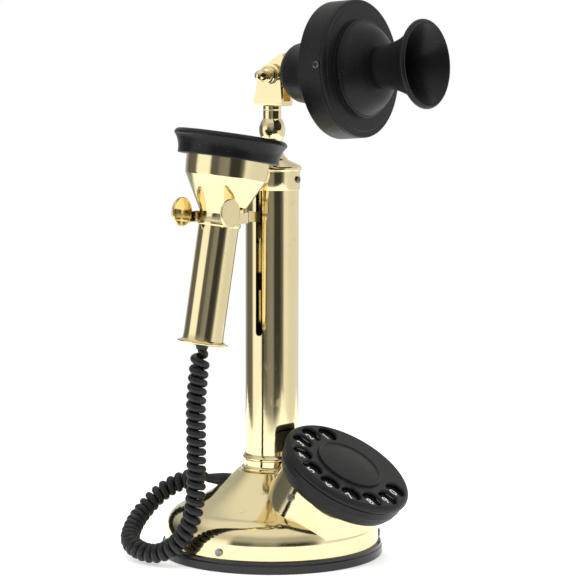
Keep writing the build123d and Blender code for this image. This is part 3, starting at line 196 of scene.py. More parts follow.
def lamp(name, place, aim, size, power, tint=(1.0, 1.0, 1.0)):
    """A soft square lamp that looks at a point."""
    light = bpy.data.lights.new(name, "AREA")
    light.shape = "RECTANGLE"
    light.size, light.size_y = size
    light.energy = power
    light.color = tint
    made = bpy.data.objects.new(name, light)
    made.location = place
    made.rotation_euler = (Vector(aim) - Vector(place)).to_track_quat("-Z", "Y").to_euler()
    made.visible_glossy = False
    scene.collection.objects.link(made)


lamp("top_panel", (-0.3, -0.2, 1.5), (0, 0, 0.15), (1.2, 1.2), 7.0)
lamp("left_panel", (-1.3, 0.5, 0.9), (0, 0, 0.2), (0.5, 1.2), 4.0)
lamp("right_panel", (0.5, -1.5, 0.8), (0, 0, 0.2), (0.7, 1.1), 4.0)

# ---------------------------------------------------------------- the camera
# A long lens a little above the dial, looking down by six degrees.
camera = bpy.data.cameras.new("camera")
camera.lens = 147.5
camera.sensor_width = 36.0
camera.clip_start = 0.05
camera.clip_end = 20.0
camera_object = bpy.data.objects.new("camera", camera)
camera_bearing = math.radians(-54.5)
camera_reach = 1.6
camera_height = 0.35
camera_object.location = (
    math.sin(camera_bearing) * camera_reach, -math.cos(camera_bearing) * camera_reach, camera_height
)
look_down, roll, look_aside = 5.99, -0.1, -0.38
camera_object.rotation_euler = (
    math.radians(90 - look_down), math.radians(roll), camera_bearing + math.radians(look_aside)
)
scene.collection.objects.link(camera_object)
scene.camera = camera_object

# ---------------------------------------------------------------- receiver cord
# Curly cord of black vinyl, wound left-handed. It hangs from the handle's bush, touches
# the table beside the foot and climbs to the grommet on the pan's back slope.
cord_points = [
    (-81.7, -1.69, 148.56), (-85.85, 0.24, 119.92), (-83.6, 1.4, 90.0), (-81.8, 2.6, 58.0),
    (-81.9, 5.6, 34.5), (-82.5, 17.0, 17.2), (-83.9, 34.0, 7.4), (-83.1, 51.0, 8.4),
    (-74.2, 66.4, 11.4), (-58.9, 75.3, 18.2), (-44.0, 78.0, 26.2), (-33.2, 74.4, 35.4),
    (-25.6, 66.6, 42.8), (-17.86, 55.14, 48.38), (-13.74, 44.95, 48.0),
]
coil_outer = 6.75 * mm
wire_diameter = 5.3 * mm
coil_centre = coil_outer - wire_diameter / 2
pitch = 5.8 * mm
loose_pitch = 8.6 * mm
loose_length = 0.016
lead = 0.007

route = bpy.data.curves.new("cord_route", "CURVE")
route.dimensions = "3D"
spline = route.splines.new("NURBS")
spline.points.add(len(cord_points) - 1)
for point, place in zip(spline.points, cord_points):
    point.co = (*(v * mm for v in place), 1.0)
spline.order_u = 3
spline.use_endpoint_u = True
route.resolution_u = 48
route_object = bpy.data.objects.new("cord_route", route)
scene.collection.objects.link(route_object)
bpy.context.view_layer.update()
flat = bpy.data.meshes.new_from_object(route_object)
centre = [v.co.copy() for v in flat.vertices]
bpy.data.objects.remove(route_object)


def along_line(points, step):
    """The points of a line again, a step apart, with the way it runs at each."""
    runs = [0.0]
    for a, b in zip(points, points[1:]):
        runs.append(runs[-1] + (b - a).length)
    count = max(2, round(runs[-1] / step))
    even, k = [], 0
    for i in range(count + 1):
        s = runs[-1] * i / count
        while k < len(runs) - 2 and runs[k + 1] < s:
            k += 1
        share = (s - runs[k]) / max(runs[k + 1] - runs[k], 1e-9)
        even.append(points[k].lerp(points[k + 1], min(share, 1.0)))
    return even, runs[-1]


def carried_sides(points):
    """A side direction at each point of a line, carried along it without twist."""
    side = None
    sides = []
    for i, here in enumerate(points):
        run = (points[min(i + 1, len(points) - 1)] - points[max(i - 1, 0)]).normalized()
        if side is None:
            side = run.orthogonal().normalized()
        side = (side - run * side.dot(run)).normalized()
        sides.append((run, side))
    return sides


core, core_length = along_line(centre, 0.00025)
helix = []
turned_so_far = 0.6
for i, (here, (run, side)) in enumerate(zip(core, carried_sides(core))):
    s = core_length * i / (len(core) - 1)
    tight = min(1.0, s / loose_length)
    local_pitch = loose_pitch + (pitch - loose_pitch) * tight
    turned_so_far -= 2 * math.pi * core_length / (len(core) - 1) / local_pitch
    ease = min(1.0, s / lead, (core_length - s) / lead)
    radius = coil_centre * math.sin(0.5 * math.pi * ease)
    other = run.cross(side)
    helix.append(here + (side * math.cos(turned_so_far) + other * math.sin(turned_so_far)) * radius)
cord_line, cord_length = along_line(helix, 0.0011)


def tube_mesh(name, points, radius, around):
    """A closed round tube along points."""
    mesh = bmesh.new()
    rings = []
    for here, (run, side) in zip(points, carried_sides(points)):
        other = run.cross(side)
        rings.append([
            mesh.verts.new(here + (side * math.cos(a) + other * math.sin(a)) * radius)
            for a in (2 * math.pi * k / around for k in range(around))
        ])
    for a, b in zip(rings, rings[1:]):
        for k in range(around):
            mesh.faces.new((a[k], a[(k + 1) % around], b[(k + 1) % around], b[k]))
    mesh.faces.new(list(reversed(rings[0])))
    mesh.faces.new(rings[-1])
    data = bpy.data.meshes.new(name)
    mesh.to_mesh(data)
    mesh.free()
    data.shade_smooth()
    made = bpy.data.objects.new(name, data)
    scene.collection.objects.link(made)
    return made


vinyl, t = finish("black_vinyl")
place = t.node("ShaderNodeTexCoord", out=3)
dust = t.node("ShaderNodeTexNoise", None, {"Vector": place, "Scale": 260.0, "Detail": 5.0})
sheen = t.node("ShaderNodeTexNoise", None, {"Vector": place, "Scale": 45.0, "Detail": 3.0})
skin = t.node("ShaderNodeTexNoise", None, {"Vector": place, "Scale": 2200.0, "Detail": 2.0})
coat(
    t,
    Base_Color=t.node(
        "ShaderNodeValToRGB",
        {
            "stops": [
                (0.35, (0.008, 0.009, 0.01)), (0.62, (0.013, 0.014, 0.016)),
                (0.8, (0.035, 0.036, 0.038)),
            ],
        },
        {"Fac": dust},
    ),
    Roughness=0.3 + 0.16 * sheen,
    Specular_IOR_Level=0.35,
    Normal=t.node("ShaderNodeBump", None, {"Strength": 0.12, "Distance": 0.0004, "Height": skin}),
)
curly_cord = tube_mesh("curly_cord", cord_line, wire_diameter / 2, 12)
curly_cord.data.materials.append(vinyl)
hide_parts("receiver_cord")
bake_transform(curly_cord)

# ---------------------------------------------------------------- foot: felt, plate, ballast and plinth ring
# The foot is closed by a steel plate faced with green-black felt. Round it sits a turned
# ring of glossy black plastic with softly broken edges, and a cast ring inside is ballast.


def arc(start, middle, end, steps=10):
    """Points of the round arc through three points of an outline."""
    (ax, ay), (bx, by), (cx, cy) = start, middle, end
    d = 2 * (ax * (by - cy) + bx * (cy - ay) + cx * (ay - by))
    if abs(d) < 1e-9:
        return [start, end]
    ux = ((ax**2 + ay**2) * (by - cy) + (bx**2 + by**2) * (cy - ay) + (cx**2 + cy**2) * (ay - by)) / d
    uy = ((ax**2 + ay**2) * (cx - bx) + (bx**2 + by**2) * (ax - cx) + (cx**2 + cy**2) * (bx - ax)) / d
    r = math.hypot(ax - ux, ay - uy)
    a0, a1, a2 = (math.atan2(y - uy, x - ux) for x, y in (start, middle, end))
    sweep = (a2 - a0) % (2 * math.pi)
    if (a1 - a0) % (2 * math.pi) > sweep:
        sweep -= 2 * math.pi
    return [
        (ux + r * math.cos(a0 + sweep * k / steps), uy + r * math.sin(a0 + sweep * k / steps))
        for k in range(steps + 1)
    ]


def standing(foot=(0, 0, 0), up=(0, 0, 1), right=(1, 0, 0)):
    """The placing of a turned piece: millimetres from its foot, its axis up."""
    z = Vector(up).normalized()
    x = (Vector(right) - z * z.dot(Vector(right))).normalized()
    turn = Matrix((x, z.cross(x), z)).transposed()
    return Matrix.Translation(Vector(foot) * mm) @ turn.to_4x4() @ Matrix.Scale(mm, 4)


def settle(name, mesh, material, body, nodes=(), edge=0.25, sharp=32.0):
    """Turns a bmesh into a piece: smooth faces, fine bevels, material, body and slot."""
    bmesh.ops.recalc_face_normals(mesh, faces=mesh.faces)
    data = bpy.data.meshes.new(name)
    mesh.to_mesh(data)
    mesh.free()
    data.shade_smooth()
    data.set_sharp_from_angle(angle=math.radians(sharp))
    piece = bpy.data.objects.new(name, data)
    scene.collection.objects.link(piece)
    data.materials.append(material)
    if edge:
        bevel = piece.modifiers.new("broken_edges", "BEVEL")
        bevel.width = edge * mm
        bevel.segments = 2
        bevel.limit_method = "ANGLE"
        bevel.angle_limit = math.radians(sharp)
        bevel.harden_normals = True
    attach(piece, body)
    if nodes:
        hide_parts(*nodes)
    return piece


def turned(name, outline, place, material, body, nodes=(), steps=144, edge=0.25, sharp=32.0):
    """A piece turned on the lathe from a closed outline of (radius, height) points."""
    mesh = bmesh.new()
    rings = []
    for radius, height in outline:
        if radius < 1e-6:
            rings.append([mesh.verts.new(place @ Vector((0, 0, height)))])
            continue
        rings.append([
            mesh.verts.new(place @ Vector((radius * math.cos(a), radius * math.sin(a), height)))
            for a in (2 * math.pi * k / steps for k in range(steps))
        ])
    for a, b in zip(rings, rings[1:] + rings[:1]):
        if len(a) == 1 and len(b) == 1:
            continue
        for k in range(steps):
            corners = [a[k % len(a)], a[(k + 1) % len(a)], b[(k + 1) % len(b)], b[k % len(b)]]
            kept = [c for i, c in enumerate(corners) if c not in corners[:i]]
            mesh.faces.new(kept)
    return settle(name, mesh, material, body, nodes, edge, sharp)


def dress(material, *nodes):
    """Gives frame nodes that keep their own shape a finish."""
    for node in nodes:
        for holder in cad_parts[node].material_slots:
            holder.material = material


def edge_wear(tree, radius=0.0006):
    """Nearly 1 on worn edges and 0 on open surfaces."""
    soft = tree.node("ShaderNodeBevel", {"samples": 4}, {"Radius": radius})
    hard = tree.node("ShaderNodeNewGeometry", out=1)
    facing = tree.node("ShaderNodeVectorMath", {"operation": "DOT_PRODUCT"}, {0: soft, 1: hard}, out=1)
    return tree.node("ShaderNodeMapRange", None, {"Value": facing, "From Min": 0.995, "From Max": 0.9})


gloss_black, t = finish("glossy_black_plinth")
place = t.node("ShaderNodeTexCoord", out=3)
specks = t.node("ShaderNodeTexNoise", None, {"Vector": place, "Scale": 420.0, "Detail": 2.0})
cloud = t.node("ShaderNodeTexNoise", None, {"Vector": place, "Scale": 30.0, "Detail": 4.0})
scuff = edge_wear(t) * cloud
tone = t.node(
    "ShaderNodeValToRGB",
    {"stops": [(0.3, (0.006, 0.006, 0.007)), (0.74, (0.012, 0.012, 0.012)), (0.8, (0.11, 0.11, 0.105))]},
    {"Fac": specks},
)
coat(
    t,
    Base_Color=t.node(
        "ShaderNodeMix",
        {"data_type": "RGBA"},
        {0: 0.45 * scuff, 6: tone, 7: (0.1, 0.1, 0.1, 1)},
        out=2,
    ),
    Roughness=0.13 + 0.16 * cloud + 0.25 * scuff,
    Normal=t.node("ShaderNodeBump", None, {"Strength": 0.06, "Distance": 0.001, "Height": cloud}),
)
plinth_outline = [
    (66.0, 0), (74.8, 0), *arc((75.2, 0.05), (75.8, 0.4), (76.0, 1.2), 4), (76.0, 5.5), (75.3, 6.3),
    (75.2, 8.3), (71.7, 8.3), (71.7, 16.4), (68.5, 16.4), (68.5, 8.3), (62.5, 8.3), (62.5, 3.1),
    (66.0, 3.1),
]
turned(
    "plinth_ring", plinth_outline, standing(), gloss_black, "stand", ["base_ring"],
    edge=0.3,
)

felt, t = finish("green_black_felt")
place = t.node("ShaderNodeTexCoord", out=3)
hairs = t.node("ShaderNodeTexNoise", None, {"Vector": place, "Scale": 1400.0, "Detail": 6.0})
wear = t.node("ShaderNodeTexNoise", None, {"Vector": place, "Scale": 40.0, "Detail": 3.0})
coat(
    t,
    Base_Color=t.node(
        "ShaderNodeValToRGB",
        {"stops": [(0.3, (0.012, 0.03, 0.018)), (0.7, (0.04, 0.075, 0.05))]},
        {"Fac": 0.6 * hairs + 0.4 * wear},
    ),
    Roughness=0.88 + 0.1 * wear,
    Normal=t.node("ShaderNodeBump", None, {"Strength": 0.7, "Distance": 0.0006, "Height": hairs}),
)
turned(
    "felt_pad",
    [(0, 0), (64.8, 0), (65.5, 0.5), (65.5, 1.1), (65.2, 1.5), (0, 1.5)],
    standing(), felt, "stand", ["base_felt"], edge=0,
)

steel, t = finish("plain_steel")
place = t.node("ShaderNodeTexCoord", out=3)
drawn = t.node(
    "ShaderNodeTexNoise",
    None,
    {
        "Vector": t.node("ShaderNodeMapping", None, {"Vector": place, "Scale": (900.0, 900.0, 120.0)}),
        "Scale": 1.0,
        "Detail": 3.0,
    },
)
stain = t.node("ShaderNodeTexNoise", None, {"Vector": place, "Scale": 160.0, "Detail": 4.0})
coat(
    t,
    Base_Color=t.node(
        "ShaderNodeValToRGB",
        {"stops": [(0.35, (0.14, 0.13, 0.11)), (0.6, (0.4, 0.39, 0.36))]},
        {"Fac": stain},
    ),
    Metallic=1.0,
    Roughness=0.2 + 0.25 * drawn,
    Normal=t.node("ShaderNodeBump", None, {"Strength": 0.1, "Distance": 0.0002, "Height": drawn}),
)
dress(steel, "bottom_plate", "plate_screws")

iron, t = finish("rough_cast_iron")
place = t.node("ShaderNodeTexCoord", out=3)
pits = t.node("ShaderNodeTexNoise", None, {"Vector": place, "Scale": 500.0, "Detail": 6.0})
coat(
    t,
    Base_Color=t.node(
        "ShaderNodeValToRGB",
        {"stops": [(0.3, (0.05, 0.045, 0.04)), (0.7, (0.13, 0.12, 0.11))]},
        {"Fac": pits},
    ),
    Metallic=1.0,
    Roughness=0.55 + 0.3 * pits,
    Normal=t.node("ShaderNodeBump", None, {"Strength": 0.5, "Distance": 0.0005, "Height": pits}),
)
dress(iron, "ballast_ring")

# ---------------------------------------------------------------- pan
# Spun brass, polished bright and lacquered: short upright rim, round shoulder and a long
# cove up to the column. Three cross-slot screws hold it to the plinth ring's inner wall.


def polished_brass(name, light, dark, lines, line_depth=0.05, dull=0.07, haze=0.1):
    """Lacquered brass. Lines is how the polishing marks stretch along X, Y and Z."""
    made, tree = finish(name)
    spot = tree.node("ShaderNodeTexCoord", out=3)
    marks = tree.node(
        "ShaderNodeTexNoise",
        None,
        {
            "Vector": tree.node("ShaderNodeMapping", None, {"Vector": spot, "Scale": lines}),
            "Scale": 1.0,
            "Detail": 4.0,
        },
    )
    clouds = tree.node(
        "ShaderNodeTexNoise",
        None,
        {"Vector": spot, "Scale": 17.0, "Detail": 5.0, "Roughness": 0.6},
    )
    tarnish = tree.node(
        "ShaderNodeTexNoise",
        None,
        {"Vector": spot, "Scale": 90.0, "Detail": 8.0, "Roughness": 0.7},
    )
    stains = tree.node("ShaderNodeMapRange", None, {"Value": tarnish, "From Min": 0.6, "From Max": 0.78})
    ground = tree.node(
        "ShaderNodeMix",
        {"data_type": "RGBA"},
        {0: clouds, 6: (*light, 1), 7: (*dark, 1)},
        out=2,
    )
    worn = tree.node(
        "ShaderNodeMix",
        {"data_type": "RGBA"},
        {0: 0.4 * stains, 6: ground, 7: (0.33, 0.24, 0.08, 1)},
        out=2,
    )
    ripple = tree.node("ShaderNodeTexNoise", None, {"Vector": spot, "Scale": 60.0, "Detail": 1.0})
    fine = tree.node(
        "ShaderNodeBump",
        None,
        {"Strength": line_depth, "Distance": 0.0002, "Height": marks},
    )
    coat(
        tree,
        Base_Color=worn,
        Metallic=1.0,
        Roughness=dull + haze * marks * clouds + 0.2 * stains,
        Coat_Weight=0.25,
        Coat_Roughness=0.06,
        Normal=tree.node(
            "ShaderNodeBump",
            None,
            {"Strength": 0.05, "Distance": 0.001, "Height": ripple, "Normal": fine},
        ),
    )
    return made


pale_gold = (0.9, 0.79, 0.5)
deep_gold = (0.8, 0.67, 0.37)
spun_brass = polished_brass("spun_brass", pale_gold, deep_gold, (60.0, 60.0, 2200.0))
pan_outline = [
    (73.3, 8.3), (73.3, 17.0), *arc((73.3, 17.0), (70.0, 26.6), (60.0, 32.7), 24)[1:],
    *arc((60.0, 32.7), (38.5, 44.3), (23.5, 57.5), 30)[1:], (13.0, 57.5), (13.0, 55.9),
    *arc((21.9, 55.9), (37.5, 43.0), (59.3, 31.3), 20),
    *arc((59.3, 31.3), (68.8, 25.4), (71.7, 17.0), 16)[1:], (71.7, 8.3),
]
turned(
    "spun_pan", pan_outline, standing(), spun_brass, "stand", ["base_pan"], steps=192, edge=0.2,
)
dress(steel, "rim_screws")

# ---------------------------------------------------------------- dial drum
# A short oblique drum of the same brass, soldered to the pan, that carries the dial.
# Two cross-slot screws go through it into the dial case.
dress(spun_brass, "dial_drum")
dress(steel, "dial_screws")

# ---------------------------------------------------------------- dial
# Moulded black case and finger wheel over a glossy black number plate, with a domed
# cover in the middle. Inside turn a brass gear and a small governor.
dial_foot = (0.0, -64.5, 67.7)
dial_up = (0.0, -0.529919, 0.848048)
dial_place = standing(dial_foot, dial_up)


def moulded_black(name, ground, lift, rough, spread, bump=0.1, streak=(240.0, 240.0, 240.0), shine=0.22):
    """Black plastic or paint with faint dust, softly worn edges and a broken sheen."""
    made, tree = finish(name)
    spot = tree.node("ShaderNodeTexCoord", out=3)
    cloud = tree.node("ShaderNodeTexNoise", None, {"Vector": spot, "Scale": 38.0, "Detail": 4.0})
    turning = tree.node(
        "ShaderNodeTexNoise",
        None,
        {
            "Vector": tree.node("ShaderNodeMapping", None, {"Vector": spot, "Scale": streak}),
            "Scale": 1.0,
            "Detail": 5.0,
        },
    )
    dust = tree.node("ShaderNodeTexNoise", None, {"Vector": spot, "Scale": 900.0, "Detail": 1.0})
    flecks = tree.node("ShaderNodeMapRange", None, {"Value": dust, "From Min": 0.7, "From Max": 0.76})
    rubbed = edge_wear(tree) * (0.4 + 0.6 * cloud)
    base = tree.node(
        "ShaderNodeMix",
        {"data_type": "RGBA"},
        {0: cloud, 6: (*ground, 1), 7: (*lift, 1)},
        out=2,
    )
    edged = tree.node(
        "ShaderNodeMix",
        {"data_type": "RGBA"},
        {0: 0.35 * rubbed, 6: base, 7: (0.09, 0.09, 0.088, 1)},
        out=2,
    )
    coat(
        tree,
        Base_Color=tree.node(
            "ShaderNodeMix",
            {"data_type": "RGBA"},
            {0: 0.25 * flecks, 6: edged, 7: (0.2, 0.2, 0.19, 1)},
            out=2,
        ),
        Roughness=rough + spread * turning - 0.08 * rubbed,
        Specular_IOR_Level=shine,
        Normal=tree.node(
            "ShaderNodeBump",
            None,
            {"Strength": bump, "Distance": 0.0003, "Height": turning},
        ),
    )
    return made


dial_black = moulded_black("moulded_dial_black", (0.011, 0.011, 0.012), (0.018, 0.018, 0.019), 0.33, 0.12)
plate_black = moulded_black(
    "number_plate_black", (0.006, 0.006, 0.007), (0.01, 0.01, 0.011), 0.06, 0.06, bump=0.02, shine=0.6,
)
dress(dial_black, "dial_case")
turned(
    "number_plate_disc",
    [
        (6.0, -5.6), (6.0, -4.4), (42.2, -4.4), (42.6, -4.8), (42.6, -6.6), (43.5, -6.6), (43.5, -7.6),
        (41.4, -7.6), (41.4, -5.6),
    ],
    dial_place, plate_black, "stand", ["number_plate"], edge=0,
)

hole_circle = 35.2
digit_height = -4.37
holes = [math.radians(65.5 + 26.0 * k) for k in range(10)]
digit_white, t = finish("printed_white")
ink = t.node(
    "ShaderNodeTexNoise",
    None,
    {"Vector": t.node("ShaderNodeTexCoord", out=3), "Scale": 1500.0, "Detail": 3.0},
)
coat(
    t,
    Base_Color=t.node(
        "ShaderNodeValToRGB",
        {"stops": [(0.3, (0.55, 0.55, 0.52)), (0.55, (0.82, 0.82, 0.79))]},
        {"Fac": ink},
    ),
    Roughness=0.35 + 0.2 * ink,
)
for k, angle in enumerate(holes):
    words = bpy.data.curves.new(f"digit_{(k + 1) % 10}", "FONT")
    words.body = str((k + 1) % 10)
    words.size = 8.4
    words.extrude = 0.03
    words.offset = 0.12
    words.align_x = "CENTER"
    words.align_y = "CENTER"
    words.resolution_u = 8
    holder = bpy.data.objects.new("digit_outline", words)
    scene.collection.objects.link(holder)
    bpy.context.view_layer.update()
    data = bpy.data.meshes.new_from_object(holder)
    bpy.data.objects.remove(holder)
    spot = (hole_circle * math.cos(angle), hole_circle * math.sin(angle), digit_height)
    data.transform(dial_place @ Matrix.Translation(spot))
    data.materials.clear()
    data.materials.append(digit_white)
    digit = bpy.data.objects.new(f"digit_{(k + 1) % 10}", data)
    scene.collection.objects.link(digit)
    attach(digit, "stand")
dress(dial_black, "finger_wheel")
cover_outline = [
    (0, -1.4), (23.4, -1.4), (23.4, -0.1), *arc((23.4, -0.1), (22.9, 0.4), (22.3, 0.1), 6)[1:],
    (21.6, -0.45), *arc((21.5, -0.4), (10.75, 0.88), (0, 1.3), 20)[:-1], (0, 1.3),
]
turned(
    "centre_cover", cover_outline, dial_place, dial_black, "finger_wheel", ["centre_disc"],
    edge=0.1,
)
plain_brass = polished_brass(
    "plain_brass", (0.74, 0.55, 0.27), (0.62, 0.44, 0.2), (500.0, 500.0, 500.0), dull=0.25,
)
dress(steel, "dial_shaft", "governor_pin")
dress(plain_brass, "dial_gear", "governor", "spring_barrel")

# ---------------------------------------------------------------- column
# Drawn brass tube with a long slot for the hook lever, standing on a turned plug,
# with a beaded collar round its foot.
drawn_brass = polished_brass("drawn_brass", pale_gold, deep_gold, (900.0, 900.0, 14.0), line_depth=0.04)
dress(drawn_brass, "column_tube")
collar_outline = [
    (18.05, 57.5), *arc((20.2, 57.5), (21.0, 59.0), (20.2, 60.5), 8), (19.4, 61.1), (19.4, 64.9),
    *arc((19.4, 64.9), (20.1, 66.2), (19.4, 67.5), 8)[1:], (18.9, 69.0), (18.05, 69.0),
]
turned(
    "foot_collar_ring", collar_outline, standing(), spun_brass, "stand", ["foot_collar"],
    edge=0.12,
)
dress(plain_brass, "column_plug")
dress(steel, "plug_ring")

# ---------------------------------------------------------------- column cap
# Turned brass cap: a sleeve over the tube with three cross-slot screws, a wider flange
# and a low cone up to the stem's foot.
cap_outline = [
    (18.05, 249.5), (18.75, 249.5), (18.95, 249.9), (18.95, 262.3), (19.5, 262.5),
    *arc((19.6, 262.5), (20.0, 264.0), (19.5, 265.5), 8)[1:], (18.4, 266.0), (10.9, 269.4),
    *arc((10.9, 269.4), (10.5, 270.2), (9.9, 271.0), 4)[1:], (3.2, 271.0), (3.2, 262.5), (18.05, 262.5),
]
turned("column_cap", cap_outline, standing(), spun_brass, "stand", ["top_cap"], edge=0.15)
dress(steel, "cap_screws", "stem_stud")

# ---------------------------------------------------------------- stem
# Solid turned brass: waisted foot, a vase-shaped bulb and a slim neck under the bracket.
stem_outline = [
    (0, 271.0), (9.6, 271.0), *arc((9.6, 271.0), (7.2, 275.0), (6.4, 281.0), 10)[1:], (6.5, 282.6),
    *arc((6.5, 282.6), (8.9, 289.9), (6.2, 297.4), 20)[1:], (6.2, 302.8), (5.9, 303.2), (6.2, 303.6),
    (6.2, 306.0), (0, 306.0),
]
turned("turned_stem", stem_outline, standing(), spun_brass, "stand", ["stem"], edge=0.15)

# ---------------------------------------------------------------- tilt joint
# Thick brass strip bent into two ears, a brass thumbscrew with a round-ended knob that is also
# the pivot, its nut, and the tongue on the transmitter's back that swings between the ears.
bent_brass = polished_brass("bent_brass", pale_gold, deep_gold, (500.0, 60.0, 60.0), line_depth=0.04)
dress(bent_brass, "pivot_bracket", "pivot_nut", "tilt_tongue")
pivot = (-6.4, -2.0, 326.64)
pivot_place = standing(pivot, (-1, 0, 0), (0, -1, 0))
thumb_outline = [
    (0, -16.8), (2.3, -16.8), (2.5, -16.5), (2.5, 0.1), (5.9, 0.1), (6.1, 0.4), (6.1, 1.8),
    *arc((6.1, 1.8), (5.5, 2.7), (4.2, 3.2), 6)[1:], (2.8, 3.2), (2.8, 5.6),
    *arc((2.8, 5.6), (3.3, 6.3), (3.6, 7.4), 5)[1:], (3.6, 10.6),
    *arc((3.6, 10.6), (2.55, 13.15), (0, 14.2), 12)[1:-1], (0, 14.2),
]
turned(
    "thumbscrew_knob", thumb_outline, pivot_place, spun_brass, "thumbscrew", ["thumbscrew"],
    steps=72, edge=0.1,
)

# ---------------------------------------------------------------- transmitter
# Spun metal cup under satin black paint with fine turning marks, a stepped front plate
# that domes out to the horn, and three cross-slot screws round the ring.
mouth_place = standing((0, 0, 326.5), (0, -0.997564, 0.069756))
satin_black = moulded_black(
    "satin_black_paint",
    (0.007, 0.007, 0.008),
    (0.012, 0.012, 0.013),
    0.3,
    0.14,
    bump=0.18,
    streak=(30.0, 2600.0, 30.0),
)
cup_outline = [
    (0, 13.5), (8.6, 13.5), *arc((9.0, 13.5), (15.5, 17.6), (19.6, 23.5), 12),
    *arc((19.6, 23.5), (25.5, 39.0), (38.0, 51.8), 24)[1:], (44.0, 53.0),
    *arc((44.2, 53.05), (45.2, 53.5), (45.5, 54.5), 4), (45.5, 69.9), (43.5, 69.9), (43.5, 55.0),
    (37.0, 54.0), *arc((37.0, 54.0), (23.6, 39.8), (17.8, 24.6), 14)[1:],
    *arc((17.8, 24.6), (14.0, 19.2), (8.4, 15.5), 8)[1:], (0, 15.5),
]
turned(
    "transmitter_shell", cup_outline, mouth_place, satin_black, "transmitter",
    ["transmitter_cup"],
)
front_outline = [
    (8.0, 84.0), (8.0, 88.5), (16.2, 88.5), *arc((16.2, 88.5), (24.6, 84.4), (30.6, 77.0), 20)[1:],
    (31.3, 76.3), *arc((31.3, 76.3), (32.3, 76.0), (32.6, 75.2), 4)[1:], (32.6, 73.0), (41.0, 73.0),
    (41.4, 72.5), (44.2, 72.5), *arc((44.4, 72.5), (45.2, 72.2), (45.5, 71.4), 4), (45.5, 70.3),
    (45.2, 70.0), (43.5, 70.0), (43.5, 65.0), (41.7, 65.0), (41.7, 70.0), (30.0, 71.0),
    *arc((30.0, 71.0), (23.0, 81.2), (14.0, 84.0), 12)[1:],
]
turned(
    "transmitter_front", front_outline, mouth_place, satin_black, "transmitter",
    ["transmitter_face"], edge=0.22,
)
dark_steel, t = finish("blackened_steel")
place = t.node("ShaderNodeTexCoord", out=3)
rub = t.node("ShaderNodeTexNoise", None, {"Vector": place, "Scale": 300.0, "Detail": 4.0})
coat(
    t,
    Base_Color=t.node(
        "ShaderNodeValToRGB",
        {"stops": [(0.4, (0.02, 0.02, 0.02)), (0.68, (0.25, 0.25, 0.25))]},
        {"Fac": rub},
    ),
    Metallic=0.8,
    Roughness=0.25 + 0.2 * rub,
)
dress(dark_steel, "ring_screws")
dress(steel, "tongue_screws", "capsule_bridge")
dress(plain_brass, "carbon_capsule")

# ---------------------------------------------------------------- mouthpiece
# Moulded black horn with a rolled lip, screwed on the front plate's neck, and the
# pierced disc at its bottom.
horn_black = moulded_black(
    "moulded_horn_black", (0.008, 0.008, 0.009), (0.013, 0.013, 0.014), 0.26, 0.1, bump=0.05,
)
horn_outline = [
    (14.0, 88.5), *arc((14.0, 88.5), (14.1, 90.2), (14.4, 92.0), 4)[1:],
    *arc((14.4, 92.0), (17.6, 105.0), (26.2, 118.8), 24)[1:], (26.8, 119.4), (27.8, 119.4),
    *arc((28.0, 119.5), (29.2, 121.5), (27.6, 123.5), 10), (26.9, 123.2),
    *arc((26.6, 122.7), (17.0, 108.5), (12.4, 92.0), 26), (12.0, 88.5),
]
turned(
    "horn", horn_outline, mouth_place, horn_black, "transmitter", ["mouthpiece"],
    steps=160, edge=0.15,
)
dress(satin_black, "mouth_grille")

# ---------------------------------------------------------------- switch hook
# Brass lever that comes out through the slot and opens into a fork round the receiver's
# neck, with a round paddle on each prong. Its pin, bracket and contact springs are inside.
dress(bent_brass, "hook_lever")
hook_bearing = math.radians(186.0)
paddle_bearing = math.radians(177.0)
hook_out = Vector((math.cos(hook_bearing), math.sin(hook_bearing), 0))
hook_cross = Vector((-hook_out.y, hook_out.x, 0))
paddle_face = Vector((-math.sin(paddle_bearing), math.cos(paddle_bearing), 0))
paddle_outline = [
    (0, -1.1), *arc((0, -1.1), (4.5, -1.02), (8.4, -0.8), 6)[1:],
    *arc((8.4, -0.9), (9.4, -0.7), (9.6, 0.0), 5), *arc((9.6, 0.0), (9.4, 0.7), (8.4, 0.9), 5)[1:],
    *arc((8.4, 0.8), (4.5, 1.02), (0, 1.1), 6)[:-1], (0, 1.1),
]
for name, side in (("front_paddle", -1.0), ("back_paddle", 1.0)):
    middle = hook_out * 87.0 + hook_cross * side * 18.3 + Vector((0, 0, 239.0))
    turned(
        name, paddle_outline, standing(middle, paddle_face), bent_brass, "hook",
        ["hook_paddles"], steps=96, edge=0,
    )
dress(steel, "hook_pin", "hook_bracket", "bracket_screws", "switch_foot")
dress(plain_brass, "switch_leaves")
brown_block, t = finish("brown_moulding")
place = t.node("ShaderNodeTexCoord", out=3)
swirl = t.node(
    "ShaderNodeTexNoise",
    None,
    {"Vector": place, "Scale": 120.0, "Detail": 5.0, "Distortion": 1.5},
)
coat(
    t,
    Base_Color=t.node(
        "ShaderNodeValToRGB",
        {"stops": [(0.35, (0.05, 0.022, 0.012)), (0.65, (0.12, 0.055, 0.03))]},
        {"Fac": swirl},
    ),
    Roughness=0.3 + 0.2 * swirl,
)
dress(brown_block, "switch_block", "terminal_block")

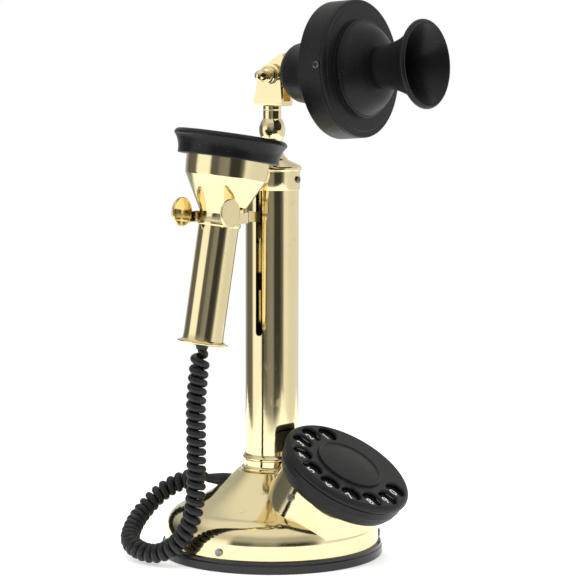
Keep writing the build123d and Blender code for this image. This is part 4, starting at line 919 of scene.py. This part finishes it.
# ---------------------------------------------------------------- receiver
# Spun brass cup and drawn brass handle with a flared end, and a moulded black ear cap
# with a dished face. Magnet, coils and diaphragm are inside.
neck_foot = (-69.6165, -7.31699, 232.0)
receiver_up = (0.143013, -0.066601, 0.987477)
receiver_place = standing(neck_foot, receiver_up)
receiver_brass = polished_brass(
    "receiver_brass", pale_gold, deep_gold, (700.0, 700.0, 16.0), line_depth=0.04,
)
receiver_cup_outline = [
    (11.7, -3.0), (13.6, -3.0), *arc((13.7, -2.95), (14.3, -1.2), (13.7, 0.5), 8), (13.3, 1.2),
    (13.4, 4.2), *arc((13.4, 4.2), (13.9, 6.0), (14.8, 7.6), 4)[1:], (26.1, 28.6),
    *arc((26.1, 28.6), (26.4, 29.1), (26.6, 29.7), 3)[1:],
    *arc((26.6, 29.7), (27.1, 35.4), (27.3, 41.5), 14)[1:], (27.3, 46.0), (25.8, 46.0), (25.8, 30.3),
    (11.7, 5.8),
]
turned(
    "receiver_cup_shell", receiver_cup_outline, receiver_place, spun_brass, "receiver",
    ["receiver_cup"], edge=0.12,
)
handle_outline = [
    (11.7, -78.0), (13.6, -78.0), (13.35, -76.0),
    *arc((13.35, -76.0), (13.22, -73.0), (13.2, -70.0), 4)[1:], (13.2, -3.0), (11.7, -3.0),
]
turned(
    "receiver_tube", handle_outline, receiver_place, receiver_brass, "receiver",
    ["receiver_handle"], edge=0,
)
flange_outline = [
    (4.4, -78.0), (13.5, -78.0), *arc((13.8, -77.95), (14.8, -78.8), (16.4, -79.3), 6),
    *arc((16.5, -79.4), (16.6, -80.0), (16.3, -80.6), 4), (15.5, -81.0), (4.4, -81.2),
]
turned(
    "handle_lip", flange_outline, receiver_place, spun_brass, "receiver", ["handle_flange"],
    edge=0,
)
ear_black = moulded_black(
    "moulded_ear_black", (0.007, 0.007, 0.008), (0.012, 0.012, 0.013), 0.22, 0.14, bump=0.05,
)
dress(ear_black, "ear_cap")
dress(steel, "diaphragm", "receiver_magnet")
coil_wire, t = finish("varnished_copper_wire")
place = t.node("ShaderNodeTexCoord", out=3)
layers = t.node("ShaderNodeTexNoise", None, {"Vector": place, "Scale": 1600.0, "Detail": 2.0})
coat(
    t,
    Base_Color=t.node(
        "ShaderNodeValToRGB",
        {"stops": [(0.35, (0.2, 0.06, 0.02)), (0.65, (0.5, 0.2, 0.09))]},
        {"Fac": layers},
    ),
    Metallic=0.9,
    Roughness=0.25 + 0.2 * layers,
)
dress(coil_wire, "receiver_coils")
bush_outline = [
    (0, -72.0), (4.4, -72.0), (4.4, -81.2), (4.2, -82.0), (3.6, -84.2), (3.4, -84.5), (0, -84.5),
]
turned(
    "handle_bush_sleeve", bush_outline, receiver_place, vinyl, "receiver", ["handle_bush"],
    steps=48, edge=0.2,
)

# ---------------------------------------------------------------- grommets and terminals
# A tapered black grommet where the receiver cord enters the pan, an open one in the rim
# for a line cord, and a terminal block with four brass screws inside the foot.
dress(vinyl, "cord_grommet", "line_grommet")
dress(plain_brass, "terminal_screws")
